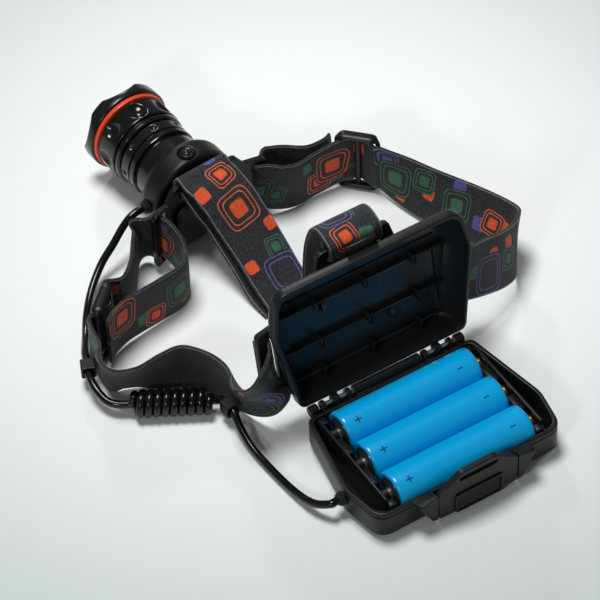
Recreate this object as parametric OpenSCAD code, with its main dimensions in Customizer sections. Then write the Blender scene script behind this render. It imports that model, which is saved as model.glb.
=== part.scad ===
// Head torch: a zoom lamp on a forehead plate, a three-way elastic strap and a hinged box for three cells.
// Millimetres, +Z up. The origin is the middle of the cell tray's base, where the tray stands on a table.
// The box lies open, +X runs along the cells and +Y points from the tray towards the lamp.

/* [Cells] */
// Diameter of one cell
cell_d = 18.3; // [17:0.1:19.5]
// Length of one cell with its positive cap
cell_l = 65.3; // [62:0.1:69]
// Play around each cell
cell_gap = 0.15; // [0.1:0.05:0.3]

/* [Battery box] */
// Wall thickness of tray and lid
wall = 1.7; // [1.4:0.1:2.2]
// Thickness of the tray's floor
floor_t = 2; // [1.6:0.1:2.6]
// Height of the tray's rim above the table
tray_h = 15; // [13.5:0.5:16.5]
// Depth of the lid from its rim to its back
lid_h = 14.6; // [13:0.2:16]
// How much wider the box is in its middle than at the hinge, on each side
flare = 7; // [5:0.5:8]
// How much wider the box is at its free edge than at the hinge, on each side
front_flare = 3.5; // [2:0.5:4.5]
// Angle between the closed lid and the lid as it stands open
lid_open = 100; // [95:1:105]
// Gap between the two rims when the box is shut
rim_gap = 0.4; // [0.3:0.1:0.8]
// Diameter of the hinge pins
hinge_pin_d = 2.2; // [1.8:0.1:2.6]
// Distance of each hinge from the middle of the box
hinge_x = 24.5; // [20:0.5:28]
// Length of one hinge pin
hinge_pin_l = 14; // [12:0.5:17]
// Space for the contacts between a cell's end and its contact board
contact_l = 3.6; // [3:0.1:4.5]
// Thickness of the contact boards
board_t = 1.2; // [0.8:0.1:1.6]

/* [Latch] */
// Width of the latch rocker at the tray's rim
latch_w = 37; // [33:0.5:41]
// Width of the latch's crest
crest_w = 16; // [13:0.5:22]
// Thickness of the latch rocker
latch_t = 2.6; // [2.4:0.1:3]
// Height of the latch pin above the table
latch_pin_z = 14; // [13:0.5:14.5]
// Diameter of the latch pin
latch_pin_d = 1.4; // [1:0.1:1.5]
// Width of the latch's finger grip
grip_w = 20; // [16:0.5:24]
// Gap behind the latch, which it swings into
latch_gap = 2.4; // [2.2:0.1:3]

/* [Lamp] */
// Diameter of the scalloped bezel
bezel_d = 39.4; // [38.4:0.2:41]
// Length of the bezel in front of the accent ring
bezel_l = 6.5; // [6:0.1:8]
// Number of scallops around the bezel
scallops = 5; // [4:1:7]
// Depth of one scallop
scallop_depth = 2.8; // [1.5:0.1:3.2]
// Diameter of the accent ring
accent_d = 37.4; // [36.6:0.1:38.2]
// Width of the accent ring
accent_w = 2; // [1.4:0.1:3]
// Diameter of the zoom sleeve
sleeve_d = 35.6; // [35.2:0.1:36.4]
// Length of the zoom sleeve behind the accent ring
sleeve_l = 14.4; // [13:0.2:16]
// How far the zoom sleeve slides forward
zoom_travel = 7; // [4:0.5:8]
// Diameter of the barrel's grip collar
collar_d = 32.8; // [32.2:0.1:33.4]
// Diameter of the barrel behind the collar
barrel_d = 31.2; // [30.4:0.1:31.8]
// Length of the barrel between housing and zoom sleeve
barrel_l = 19; // [17:0.5:21]
// Diameter of the rear housing
housing_d = 41; // [40:0.2:43]
// Length of the rear housing
housing_l = 13; // [12:0.5:15]
// Diameter of the power button
button_d = 6.3; // [5.5:0.1:7]

/* [Forehead plate] */
// Width of the forehead plate
plate_w = 59; // [57:0.5:63]
// Height of the plate at its side bars
plate_h = 29.8; // [29.4:0.2:32]
// Thickness of the plate
plate_t = 2.6; // [2.2:0.1:3]
// Radius of the plate's bend around the forehead
plate_r = 90; // [80:1:110]
// Thickness of the foam pad behind the plate
pad_t = 3; // [2:0.2:5]
// Diameter of the tilt pin
tilt_pin_d = 2.2; // [1.8:0.1:2.6]

/* [Straps] */
// Width of the webbing
strap_w = 25; // [23:0.5:25.5]
// Thickness of the webbing
strap_t = 1.5; // [1.1:0.1:1.7]
// Width of the slots that the webbing passes through
slot_w = 4.4; // [4:0.1:4.8]

/* [Cable] */
// Diameter of the cable
cable_d = 3.4; // [3:0.1:3.8]
// Outer diameter of the curly part
coil_d = 12; // [10:0.5:12.5]

/* [Hidden] */
$fn = 64;
run_fit = 0.05;
eps = 0.01;

// Cells and tray
nub_d = 6.5;
nub_l = 1.6;
pitch = cell_d + cell_gap;
cell_z = floor_t + cell_gap + cell_d / 2;
row_half = pitch + cell_d / 2 + cell_gap;
box_half = row_half + wall;
board_play = 0.6;
board_x = cell_l / 2 + contact_l;
board_h = tray_h + 2.6;
hinge_half = board_x + board_t + board_play + wall;
wide_half = hinge_half + flare;
front_half = hinge_half + front_flare;
wide_y = -10;
tray_edge = 2.4;
ridge_h = 3;
spring_r = 4.2;
tab_r = 3.6;

// Hinge
hinge_r = hinge_pin_d / 2;
knuckle_r = hinge_r + 1.2;
knuckle_gap = 0.3;
hinge_y = box_half + knuckle_r + knuckle_gap;
hinge_z = tray_h;
tray_knuckle_l = 2;
lid_knuckle_l = 3.2;
hinge_rest_gap = 1.5;
hinge_rest_l = 4;
hinge_leaf_l = hinge_pin_l + 5;
hinge_leaf_t = 1.6;
hinge_leaf_out = 1.4;

// Lid, described as it lies when shut
lid_z = tray_h + rim_gap;
lid_top = lid_z + lid_h;
lid_rim = 5;
lid_side_in = 5;
lid_front_in = 9.5;
lid_back_in = 2;
rib_h = 4;
rib_t = 1.2;
rib_rows = [row_half - 3.8, pitch / 2, -pitch / 2];
tab_columns = [-22, 1, 24];
ear_t = 3;
bar_w = 3.2;
slot_l = strap_w + 1.2;
ear_l = slot_l + 7;
ear_flare = 3;
ear_y = hinge_y - 20.5;
side_slot_x = hinge_half + 1.6 + slot_w / 2;
top_slot_y = -(box_half - lid_front_in + 3 + slot_w / 2);

// Latch
latch_y = -(box_half + latch_gap);
latch_pin_y = latch_y - latch_t / 2;
latch_r = latch_pin_d / 2;
latch_low = 2;
latch_taper = 0.8;
latch_top = tray_h + 9.5;
latch_ear_t = 3;
latch_ear_gap = 0.6;
latch_ear_x = latch_w / 2 + latch_ear_gap;
bulge_shoulder = latch_ear_x + 9.4;
bulge_foot = latch_ear_x + 3;
bulge_low = latch_low + 1;
bulge_draw = 1.5;
bulge_rise = 0.8;
bulge_side = 1.6;
catch_w = 14;
catch_t = 1.6;
catch_z = lid_z + 4.8;
catch_reach = latch_gap + 1.1;
catch_play = 0.6;
catch_side = 2;
grip_t = 1.2;
grip_h = 8;

// Lamp, whose axis runs along +Y from the middle of the housing's rear face
housing_r = housing_d / 2;
head_x = -14;
head_y = 157.5;
head_turn = 5;
head_z = housing_r + 0.1;
housing_wall = 2.2;
barrel_r = barrel_d / 2;
barrel_in = barrel_r - 3;
flange_l = 1.8;
flange_gap = 1.5;
flange_r = housing_r - housing_wall - flange_gap;
sleeve_y = housing_l + barrel_l;
accent_y = sleeve_y + sleeve_l + 0.6;
bezel_y = accent_y + accent_w;
slide_r = collar_d / 2 - 1.6;
slide_l = 10.5;
neck_wall = 1.75;
neck_r = min(accent_d, bezel_d - 2) / 2 - neck_wall;
lens_r = neck_r - 1.1;
lens_y = accent_y + 0.5;
lens_edge = 2.4;
lens_rise = 5;
pill_l = 6;
led_board_r = 8;
led_board_t = 1.2;
chip_w = 5;
chip_t = 0.8;
chip_dome_r = 2;
chip_dome_t = 0.6;
driver_y = 4;
driver_t = 1.4;
driver_gap = 0.2;
button_y = 5;
gland_y = 6.8;
gland_r = 2.4;
gland_l = 2.6;
tilt_r = tilt_pin_d / 2;
tilt_lug_r = tilt_r + 1.2;
tilt_gap = 0.4;
tilt_y = -(tilt_lug_r + tilt_gap);
tilt_z = -(housing_r - 4.2);
tilt_lug_l = 10;
tilt_fork_t = 3;
button_r = button_d / 2;

// Plate
plate_y = tilt_y - 1.2;
plate_low = 2.8;
slot_frame = 1.8;
plate_bar = plate_w / 2 - bar_w;
plate_slot_x = plate_bar - slot_w / 2;
plate_slot_z = plate_low + slot_frame + slot_l / 2;
crown_z = plate_low + plate_h - 1;
crown_slot = 3.2;
crown_top = crown_z + crown_slot + bar_w;
crown_half = slot_l / 2 + 3;
pad_half = 17;
pad_low = 4;
pad_high = 27;
pad_corner = 4;

// Sliders
slider_t = 1.8;
slider_window = 6.6;
slider_end = 2.2;
slider_mid = 2.6;
slider_w = 2 * (slider_end + slider_window) + slider_mid;
slider_rail = 2.3;
slider_h = strap_w + 2 * slider_rail + 1.4;
rail_t = 5.4;

// Strap routes: each station is a point on the middle of the webbing and the direction of its width
web_z = strap_w / 2 + 0.2;
web_slot_z = plate_slot_z;
up = [0, 0, 1];
wrap = ear_t / 2 + strap_t / 2 + 0.5;
// A point beside a side slot of the lid: out from the slot, and back from the ear's middle
function lid_side(s, out, back) =
    lid_at([s * (side_slot_x + out), ear_y, lid_top - ear_t / 2 + back]);
// A point beside the lid's top slot
function lid_crown(out, back) = lid_at([0, top_slot_y - out, lid_top - ear_t / 2 + back]);
// A point that has turned with the lid from shut to open
function lid_at(p) =
    let (dy = p[1] - hinge_y, dz = p[2] - hinge_z, c = cos(lid_open), s = sin(lid_open))
    [p[0], hinge_y + dy * c + dz * s, hinge_z - dy * s + dz * c];
lid_up = [0, -cos(lid_open), sin(lid_open)];
// A point that has been set in place with the lamp and its plate
function head_at(p) = [
    head_x + p[0] * cos(head_turn) - p[1] * sin(head_turn),
    head_y + p[0] * sin(head_turn) + p[1] * cos(head_turn),
    p[2]
];
// A point that keeps its place from the lamp, at a height above the table
function near_head(right, forward, z) = [head_x + right, head_y + forward, z];
// A point beside a side slot of the forehead plate
function plate_side(s, out, forward) = head_at([
    s * (plate_slot_x + out),
    plate_y - plate_r + sqrt(pow(plate_r - plate_t / 2, 2) - pow(plate_slot_x + out, 2)) + forward,
    web_slot_z
]);
// A point beside the plate's top bar
function plate_crown(forward, z) = head_at([0, plate_y - plate_t / 2 + forward, z]);
head_across = [cos(head_turn), sin(head_turn), 0];
plate_wrap = plate_t / 2 + strap_t / 2 + 0.7;

right_slider_at = near_head(70, -17.5, web_z + 3);
right_slider_turn = -64;
left_slider_at = near_head(-67, -38, web_z + 3);
left_slider_turn = 223;
slider_lift = slider_t / 2 + strap_t / 2 + 0.75;
slider_cross = (slider_mid + slider_window) / 2;
// A point beside a slider: along its strap and out from its face
function beside(at, turn, along, out) =
    [at[0] + along * cos(turn) - out * sin(turn), at[1] + along * sin(turn) + out * cos(turn), at[2]];

right_stations = concat(
    [
        [lid_side(1, 10, wrap), lid_up],
        [lid_side(1, 4, wrap), lid_up],
        [lid_side(1, 0.8, wrap - 0.6), lid_up],
        [lid_side(1, 0, 0), lid_up],
        [lid_side(1, 0.8, 0.6 - wrap), lid_up],
        [lid_side(1, 5, -wrap - 0.2), lid_up],
        [[60, 49, 28], [0, 0.3, 1]],
        [[72, 53, 22], [0.25, 0.45, 1]],
        [[81, 58.5, 17.5], [0.36, 0.5, 0.9]],
        [[86, 66, 15], [0.4, 0.5, 0.85]],
        [[85.5, 74, 14.2], [0.42, 0.4, 0.87]],
        [[80, 89, 13.5], [0.42, 0.3, 0.9]],
        [[72, 107, 13], [0.35, 0.2, 0.95]],
        [[63.5, 121.5, 14.2], [0.2, 0.1, 1]]
    ],
    slider_weave(right_slider_at, right_slider_turn, -1),
    [
        [near_head(57, -11.8, web_z + 1.5), up],
        [near_head(50, -13.5, web_z + 0.5), up],
        [near_head(41, -14.5, web_z + 0.8), up],
        [near_head(33.5, -12.5, web_z + 2.8), up],
        [plate_side(1, 3, -plate_wrap), up],
        [plate_side(1, 0.6, 0.6 - plate_wrap), up],
        [plate_side(1, 0, 0), up],
        [plate_side(1, 0.7, plate_wrap - 0.2), up],
        [plate_side(1, 3.5, plate_wrap + 0.2), up],
        [near_head(34, -0.3, web_z + 3), up],
        [near_head(42, -1, web_z + 1.5), up],
        [near_head(51, -6.5, web_z + 1), up],
        [near_head(59, -7.5, web_z + 1.5), up],
        [near_head(64, -6, web_z + 2), up]
    ]
);

left_stations = concat(
    [
        [lid_side(-1, 11, wrap), lid_up],
        [lid_side(-1, 4, wrap), lid_up],
        [lid_side(-1, 0.8, wrap - 0.6), lid_up],
        [lid_side(-1, 0, 0), lid_up],
        [lid_side(-1, 0.6, 0.4 - wrap), lid_up],
        [[-46.6, 43.9, 31.5], [0, 0.1, 1]],
        [[-50.3, 42.3, 27.3], [-0.2, -0.1, 1]],
        [[-52.6, 45.2, 21.5], [-0.4, -0.15, 1]],
        [[-53.8, 51.5, 16.2], [-0.32, -0.05, 1]],
        [[-54.8, 60, 13.4], [-0.1, 0, 1]],
        [[-56.6, 69, web_z], up],
        [[-60, 77, web_z], up],
        [[-66, 83.5, web_z], up],
        [[-75, 86, web_z], up],
        [[-84, 88.5, web_z], up],
        [[-91, 91.5, web_z], up],
        [[-94, 97, web_z], up],
        [[-92.5, 104, web_z + 1], up]
    ],
    slider_weave(left_slider_at, left_slider_turn, -1),
    [
        [near_head(-53, -29.5, web_z + 2), up],
        [near_head(-45, -22.5, web_z + 1), up],
        [near_head(-38, -12.5, web_z + 1.5), up],
        [near_head(-32.5, -6.5, web_z + 3), up],
        [plate_side(-1, 4, plate_wrap + 0.6), up],
        [plate_side(-1, 0.9, plate_wrap), up],
        [plate_side(-1, 0, 0), up],
        [plate_side(-1, -0.1, -2.2), up],
        [near_head(-22, -17, web_z + 4.5), up],
        [near_head(-21.6, -24.5, web_z + 1), up],
        [near_head(-23.5, -31.5, web_z + 0.6), up],
        [near_head(-30, -36.5, web_z + 0.6), up],
        [near_head(-41, -38.5, web_z + 1), up],
        [near_head(-51, -40, web_z + 1.6), up],
        [near_head(-59, -41.5, web_z + 2), up],
        [near_head(-66, -44.5, web_z + 2.4), up],
        [near_head(-71, -48.5, web_z + 2.6), up]
    ]
);

crown_mid = crown_z + crown_slot / 2;
across = [1, 0, 0];
top_stations = [
    [near_head(7, -50.5, 3.4), across],
    [near_head(6.2, -39.5, 11), across],
    [near_head(4.8, -29.5, 18.6), across],
    [near_head(3.4, -19.5, 25), head_across],
    [plate_crown(-8.5, crown_mid - 2.6), head_across],
    [plate_crown(-3.4, crown_mid - 0.3), head_across],
    [plate_crown(0, crown_mid), head_across],
    [plate_crown(plate_wrap - 0.4, crown_mid + 0.4), head_across],
    [plate_crown(plate_wrap, crown_top - 1.4), head_across],
    [plate_crown(0, crown_top + 2.1), head_across],
    [plate_crown(-5, crown_top + 0.6), head_across],
    [near_head(2.6, -16.5, 34.4), [1, 0.05, -0.05]],
    [near_head(5.4, -25.5, 27.2), [1, 0, -0.1]],
    [near_head(8, -38, 16.8), [1, 0, -0.15]],
    [near_head(9, -51.5, 7.5), [1, 0, -0.15]],
    [[-4, 93, 3.5], [1, 0, -0.05]],
    [[-3, 82, 6], across],
    [[-2, 75.5, 18], across],
    [[-1, 73.5, 38], across],
    [[0, 72.5, 60], across],
    [[0, 69, 72], across],
    [[0, 65.5, 77.5], across],
    [[0, 60.5, 79], across],
    [lid_crown(7.6, 0.4 - wrap), across],
    [lid_crown(4, -wrap), across],
    [lid_crown(0.8, 0.6 - wrap), across],
    [lid_crown(0, 0), across],
    [lid_crown(0.8, wrap - 0.6), across],
    [lid_crown(4, wrap), across],
    [lid_crown(7, wrap + 0.3), across]
];

// The webbing's way through a slider: over one end bar, under the middle bar and over the other end bar
function slider_weave(at, turn, side) = [
    for (step = [
        [slider_w / 2 + 1, 1],
        [slider_w / 2 - slider_end + 0.4, 1],
        [slider_cross, 0],
        [slider_mid / 2 - 0.4, -1],
        [0.4 - slider_mid / 2, -1],
        [-slider_cross, 0],
        [slider_end - slider_w / 2 - 0.4, 1],
        [-slider_w / 2 - 1, 1]
    ])
        [beside(at, turn, step[0], side * step[1] * slider_lift), up]
];

// Cable routes
cable_r = cable_d / 2;
coil_r = coil_d / 2;
tray_gland_z = 8.5;
tray_gland_y = -8;
tray_gland_x = -(wide_half + gland_l);
coil_start = [-89, 81, coil_r + 0.1];
coil_end = [-63, 66.5, coil_r + 0.1];
clip_one_at = [-96.9, 106.6, 9];
clip_one_turn = 66;
clip_l = 6;
clip_play = 0.5;
clip_half = cable_r + 1.3;
clip_reach = cable_r + 1.6;
clip_two_at = [-59.2, 57.5, 8];
clip_two_turn = 90;
// A point on the way out of the lamp's gland, of the tray's gland, of a clip or of the coil
function from_lamp(out) = head_at([-housing_r - gland_l - out, gland_y, head_z]);
function from_tray(out) = [tray_gland_x - out, tray_gland_y, tray_gland_z];
function from_clip(at, turn, out) = at + out * [cos(turn), sin(turn), 0];
coil_way = (coil_end - coil_start) / norm(coil_end - coil_start);
cord_gap = 0.3;
lead = 3.2;
lamp_run = [
    from_lamp(cord_gap),
    from_lamp(lead),
    [-44.6, 161.4, 19.6],
    [-49, 160.2, 17],
    [-55, 157.8, 13],
    [-63, 154.5, 8.5],
    [-72, 147.5, 4.5],
    [-80, 138, 2.4],
    [-87, 126.5, 3.6],
    [-93, 116, 7.2],
    from_clip(clip_one_at, clip_one_turn, lead),
    from_clip(clip_one_at, clip_one_turn, cord_gap)
];
mid_run = [
    from_clip(clip_one_at, clip_one_turn, -cord_gap),
    from_clip(clip_one_at, clip_one_turn, -lead),
    [-99.4, 97, 8.2],
    [-97.6, 89, 6.5],
    [-94, 84.1, coil_r + 0.1],
    coil_start - lead * coil_way,
    coil_start - cord_gap * coil_way
];
box_run = [
    coil_end + cord_gap * coil_way,
    coil_end + lead / 2 * coil_way,
    [-60.2, 63.9, 7.2],
    from_clip(clip_two_at, clip_two_turn, lead),
    clip_two_at,
    from_clip(clip_two_at, clip_two_turn, -lead),
    [-60.3, 46, 5],
    [-60.6, 36, 2.6],
    [-59.8, 22, 2.2],
    [-58.4, 8, 3],
    [-56.4, -2, 5.4],
    from_tray(lead),
    from_tray(lead / 2),
    from_tray(cord_gap)
];

// Sweeps

function unit(v) = v / norm(v);
function clip_index(i, n) = min(max(i, 0), n - 1);

// Catmull-Rom point between b and c
function spline(a, b, c, d, t) = 0.5 * (2 * b + (c - a) * t + (2 * a - 5 * b + 4 * c - d) * t * t
    + (3 * b - a - 3 * c + d) * t * t * t);

// The points of a smooth way through a list of vectors, with a number of steps in each gap
function smooth(list, steps) = let (n = len(list)) concat(
    [
        for (i = [0:n - 2], k = [0:steps - 1])
            spline(list[clip_index(i - 1, n)], list[i], list[i + 1], list[clip_index(i + 2, n)], k / steps)
    ],
    [list[n - 1]]
);

function direction(path, i) = unit(path[clip_index(i + 1, len(path))] - path[clip_index(i - 1, len(path))]);

// A closed skin over equal rings of points
module skin(rings) {
    n = len(rings);
    m = len(rings[0]);
    sides = [
        for (i = [0:n - 2], j = [0:m - 1])
            let (a = i * m + j, b = i * m + (j + 1) % m)
            each [[a, b, a + m], [b, b + m, a + m]]
    ];
    first = [for (j = [1:m - 2]) [0, j + 1, j]];
    last = [for (j = [1:m - 2]) [(n - 1) * m, (n - 1) * m + j, (n - 1) * m + j + 1]];
    polyhedron(points = [for (r = rings) each r], faces = concat(sides, first, last));
}

// Flat webbing through stations of [point, width direction]
module webbing(stations, steps) {
    path = smooth([for (s = stations) s[0]], steps);
    lean = smooth([for (s = stations) s[1]], steps);
    skin([
        for (i = [0:len(path) - 1])
            let (
                t = direction(path, i),
                w = unit(lean[i] - t * (lean[i] * t)) * strap_w / 2,
                n = cross(t, unit(w)) * strap_t / 2
            )
            [path[i] + w + n, path[i] - w + n, path[i] - w - n, path[i] + w - n]
    ]);
}

// A round cord through points
module cord(points, r, steps, sides) {
    path = smooth(points, steps);
    skin([
        for (i = [0:len(path) - 1])
            let (t = direction(path, i), a = unit(cross(up, t)), b = cross(t, a))
            [for (j = [0:sides - 1]) path[i] + r * (cos(360 * j / sides) * a - sin(360 * j / sides) * b)]
    ]);
}

// Outlines

// The arc that rounds corner b between its neighbours a and c
function corner(a, b, c, r, n) =
    let (
        u = unit(a - b), v = unit(c - b), half = acos(u * v) / 2,
        mid = b + unit(u + v) * r / sin(half),
        from = b + u * r / tan(half) - mid, to = b + v * r / tan(half) - mid,
        start = atan2(from[1], from[0]), sweep = atan2(to[1], to[0]) - start,
        turn = sweep > 180 ? sweep - 360 : sweep < -180 ? sweep + 360 : sweep
    )
    [for (k = [0:n]) mid + r * [cos(start + turn * k / n), sin(start + turn * k / n)]];

function rounded(points, radii, n = 6) = let (m = len(points)) [
    for (i = [0:m - 1])
        each corner(points[(i + m - 1) % m], points[i], points[(i + 1) % m], radii[i], n)
];

hinge_corner_r = 5;
wide_corner_r = 16;
front_corner_r = 8;

// The box in plan, drawn in at its sides, its free edge and its hinge edge
function box_outline(side = 0, front = 0, back = 0) = rounded(
    [
        [hinge_half - side, box_half - back],
        [-(hinge_half - side), box_half - back],
        [-(wide_half - side), wide_y],
        [-(front_half - side), -(box_half - front)],
        [front_half - side, -(box_half - front)],
        [wide_half - side, wide_y]
    ],
    [hinge_corner_r - wall, hinge_corner_r - wall, wide_corner_r, front_corner_r - wall, front_corner_r - wall,
     wide_corner_r]
);

// Placing

module opened() translate([0, hinge_y, hinge_z]) rotate([-lid_open, 0, 0]) translate([0, -hinge_y, -hinge_z])
    children();
module placed() translate([head_x, head_y, 0]) rotate([0, 0, head_turn]) children();
module headed() placed() translate([0, 0, head_z]) children();
module turned() rotate([-90, 0, 0]) rotate_extrude() children();
module across_x(x, y, z, r, l) translate([x, y, z]) rotate([0, 90, 0]) cylinder(r = r, h = l, center = true);
module around(count, r, y) for (i = [0:count - 1])
    rotate([0, i * 360 / count, 0]) translate([0, y, r]) children();

// Battery box

module battery_tray() color("#26272a") difference() {
    union() {
        difference() {
            hull() {
                linear_extrude(eps) polygon(box_outline(tray_edge, tray_edge, tray_edge));
                translate([0, 0, tray_edge]) linear_extrude(tray_h - tray_edge) polygon(box_outline());
            }
            translate([0, 0, floor_t]) linear_extrude(tray_h) polygon(box_outline(wall, wall, wall));
        }
        for (s = [-1, 1]) tray_ridge(s * pitch / 2);
        for (s = [-1, 1], e = [-1, 1])
            tray_knuckle(s * hinge_x + e * (hinge_pin_l - tray_knuckle_l) / 2, tray_knuckle_l);
        tray_knuckle(0, 2 * (hinge_x - hinge_pin_l / 2 - hinge_rest_gap));
        for (s = [-1, 1])
            tray_knuckle(s * (hinge_x + hinge_pin_l / 2 + hinge_rest_gap + hinge_rest_l / 2), hinge_rest_l);
        for (s = [-1, 1]) hinge_leaf(s * hinge_x);
        for (s = [0, 1]) latch_ear(s);
    }
    for (s = [-1, 1]) across_x(s * hinge_x, hinge_y, hinge_z, hinge_r, hinge_pin_l + 2);
    across_x(0, latch_pin_y, latch_pin_z, latch_r, 2 * (latch_ear_x + latch_ear_t));
    across_x(-wide_half, tray_gland_y, tray_gland_z, gland_r, 8);
}

// A ridge on the floor that keeps two cells apart
module tray_ridge(y) translate([-cell_l / 2 + 2, y, floor_t - eps]) rotate([90, 0, 90])
    linear_extrude(cell_l - 4) polygon([[-3, 0], [3, 0], [1, ridge_h], [-1, ridge_h]]);

module tray_knuckle(x, l) {
    across_x(x, hinge_y, hinge_z, knuckle_r, l);
    translate([x - l / 2, box_half - wall / 2, hinge_z - knuckle_r])
        cube([l, hinge_y - box_half + wall / 2, knuckle_r - knuckle_gap]);
}

// A leaf under a hinge pin, which closes the gap between tray and lid
module hinge_leaf(x)
    translate([x - hinge_leaf_l / 2, box_half - wall / 2, hinge_z - knuckle_r - 2 * knuckle_gap - hinge_leaf_t])
    cube([hinge_leaf_l, hinge_y - box_half + wall / 2 + hinge_leaf_out, hinge_leaf_t]);

// One half of the bulge beside the latch, which holds its pin
module latch_ear(s) mirror([s, 0, 0]) hull() {
    bulge_outline(-(box_half - wall / 2), 0, tray_h);
    bulge_outline(latch_y - latch_t + eps, bulge_draw, tray_h + bulge_rise);
}

// The bulge seen from the front, drawn in at its side and its foot
module bulge_outline(y, draw, top) translate([0, y, 0]) rotate([90, 0, 0]) linear_extrude(eps) polygon([
    [latch_ear_x, bulge_low + draw],
    [bulge_foot - draw, bulge_low + draw],
    [bulge_shoulder - draw, top - bulge_side],
    [bulge_shoulder - draw, top],
    [latch_ear_x, top]
]);

module lid_block() hull() {
    translate([0, 0, lid_z]) linear_extrude(lid_rim) polygon(box_outline());
    translate([0, 0, lid_top - eps]) linear_extrude(eps)
        polygon(box_outline(lid_side_in, lid_front_in, lid_back_in));
}

module lid_hollow() hull() {
    translate([0, 0, lid_z - 1]) linear_extrude(lid_rim + 1) polygon(box_outline(wall, wall, wall));
    translate([0, 0, lid_top - wall - eps]) linear_extrude(eps)
        polygon(box_outline(lid_side_in + wall, lid_front_in + wall, lid_back_in + wall));
}

module lid_ribs() {
    rib_z = lid_top - wall - rib_h;
    for (y = rib_rows)
        translate([-wide_half, y - rib_t / 2, rib_z]) cube([2 * wide_half, rib_t, rib_h + wall / 2]);
    for (y = rib_rows, x = tab_columns)
        translate([x - rib_t / 2, y - 2.5, rib_z - 2]) cube([rib_t, 5, rib_h + 2 + wall / 2]);
}

// A flat ear with a slot for the webbing, which reaches out along +X from the lid's back
module slot_ear(root, slot_x) translate([0, 0, lid_top - ear_t]) linear_extrude(ear_t) difference() {
    polygon([
        [root, -ear_l / 2 - ear_flare], [slot_x + slot_w / 2 + bar_w, -ear_l / 2],
        [slot_x + slot_w / 2 + bar_w, ear_l / 2], [root, ear_l / 2 + ear_flare]
    ]);
    translate([slot_x, 0]) square([slot_w, slot_l], center = true);
}

module lid_ears() {
    for (s = [0, 1])
        mirror([s, 0, 0]) translate([0, ear_y, 0]) slot_ear(hinge_half - lid_side_in, side_slot_x);
    rotate([0, 0, -90]) slot_ear(box_half - lid_front_in - 1, -top_slot_y);
}

module lid_knuckle(x) {
    across_x(x, hinge_y, hinge_z, knuckle_r, lid_knuckle_l);
    translate([x - lid_knuckle_l / 2, box_half - wall / 2, lid_z])
        cube([lid_knuckle_l, hinge_y - box_half + wall / 2, knuckle_r - rim_gap]);
}

module strap_lid() color("#222326") opened() difference() {
    union() {
        difference() {
            lid_block();
            lid_hollow();
        }
        intersection() {
            lid_block();
            lid_ribs();
        }
        lid_ears();
        for (s = [-1, 1]) lid_knuckle(s * hinge_x);
        translate([-catch_w / 2, -(box_half + catch_reach), catch_z])
            cube([catch_w, catch_reach + wall / 2, catch_t]);
    }
    for (s = [-1, 1]) across_x(s * hinge_x, hinge_y, hinge_z, hinge_r + run_fit, lid_knuckle_l + 2);
}

module hinge_pins() color("silver")
    for (s = [-1, 1]) across_x(s * hinge_x, hinge_y, hinge_z, hinge_r, hinge_pin_l);

module latch() color("#1d1e20") difference() {
    translate([0, latch_y, 0]) rotate([90, 0, 0]) linear_extrude(latch_t) polygon([
        [-latch_w / 2 + latch_taper, latch_low], [latch_w / 2 - latch_taper, latch_low],
        [latch_w / 2, latch_pin_z + 1], [crest_w / 2, latch_top],
        [-crest_w / 2, latch_top], [-latch_w / 2, latch_pin_z + 1]
    ]);
    across_x(0, latch_pin_y, latch_pin_z, latch_r + run_fit, latch_w + 4);
    translate([-catch_w / 2 - catch_side, latch_y - latch_t - 1, catch_z - catch_play])
        cube([catch_w + 2 * catch_side, latch_t + 2, catch_t + 2 * catch_play]);
}

module latch_grip() color("#2f3033") translate([0, latch_y - latch_t, latch_low + 1.6]) {
    translate([-grip_w / 2, -grip_t / 2, 0]) cube([grip_w, grip_t / 2, grip_h]);
    for (i = [0:4]) translate([-grip_w / 2 + 0.6, -grip_t, 0.5 + i * grip_h / 5])
        cube([grip_w - 1.2, grip_t / 2 + eps, grip_h / 10]);
}

module latch_pin() color("silver")
    across_x(0, latch_pin_y, latch_pin_z, latch_r, 2 * (latch_ear_x + latch_ear_t));

// A cell in row -1, 0 or 1, counted from the free edge
module cell(row) color("#1794e0") translate([-cell_l / 2 + nub_l, row * pitch, cell_z]) rotate([0, 90, 0])
    cylinder(d = cell_d, h = cell_l - nub_l);
module cell_rear() cell(1);
module cell_middle() cell(0);
module cell_front() cell(-1);

module each_cell(x) for (row = [-1:1]) translate([x, row * pitch, cell_z]) rotate([0, 90, 0]) children();

module cell_caps() color("silver") each_cell(-cell_l / 2) cylinder(d = nub_d, h = nub_l);
module contact_tabs() color("gold") each_cell(-board_x) cylinder(r = tab_r, h = contact_l);
module contact_springs() color("gold") each_cell(cell_l / 2) rotate_extrude()
    polygon([[1.6, 0], [2.2, 0], [spring_r, contact_l], [spring_r - 0.6, contact_l]]);

module contact_board(x) color("#2c5136") translate([x, -pitch - 6, floor_t])
    cube([board_t, 2 * pitch + 12, board_h - floor_t]);
module spring_board() contact_board(board_x);
module tab_board() contact_board(-board_x - board_t);

module tray_gland() color("#18181a") translate([-wide_half, tray_gland_y, tray_gland_z]) rotate([0, -90, 0]) {
    translate([0, 0, -wall - 1]) cylinder(r = gland_r, h = wall + 1 + gland_l);
    translate([0, 0, 0.1]) cylinder(r = gland_r + 0.9, h = gland_l - 0.7);
}

// Lamp

module bezel() color("#17181b") headed() difference() {
    turned() polygon([
        [neck_r, bezel_y], [bezel_d / 2 - 0.6, bezel_y], [bezel_d / 2, bezel_y + 0.6],
        [bezel_d / 2, bezel_y + bezel_l - 0.5], [bezel_d / 2 - 0.5, bezel_y + bezel_l],
        [lens_r - 0.2, bezel_y + bezel_l], [lens_r - 0.2, bezel_y + 3.4], [neck_r, bezel_y + 3]
    ]);
    chord = bezel_d / 2 * sin(126 / scallops);
    scallop_r = (chord * chord + scallop_depth * scallop_depth) / (2 * scallop_depth);
    around(scallops, 0, bezel_y + bezel_l + scallop_r - scallop_depth) cylinder(r = scallop_r, h = bezel_d);
}

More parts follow.
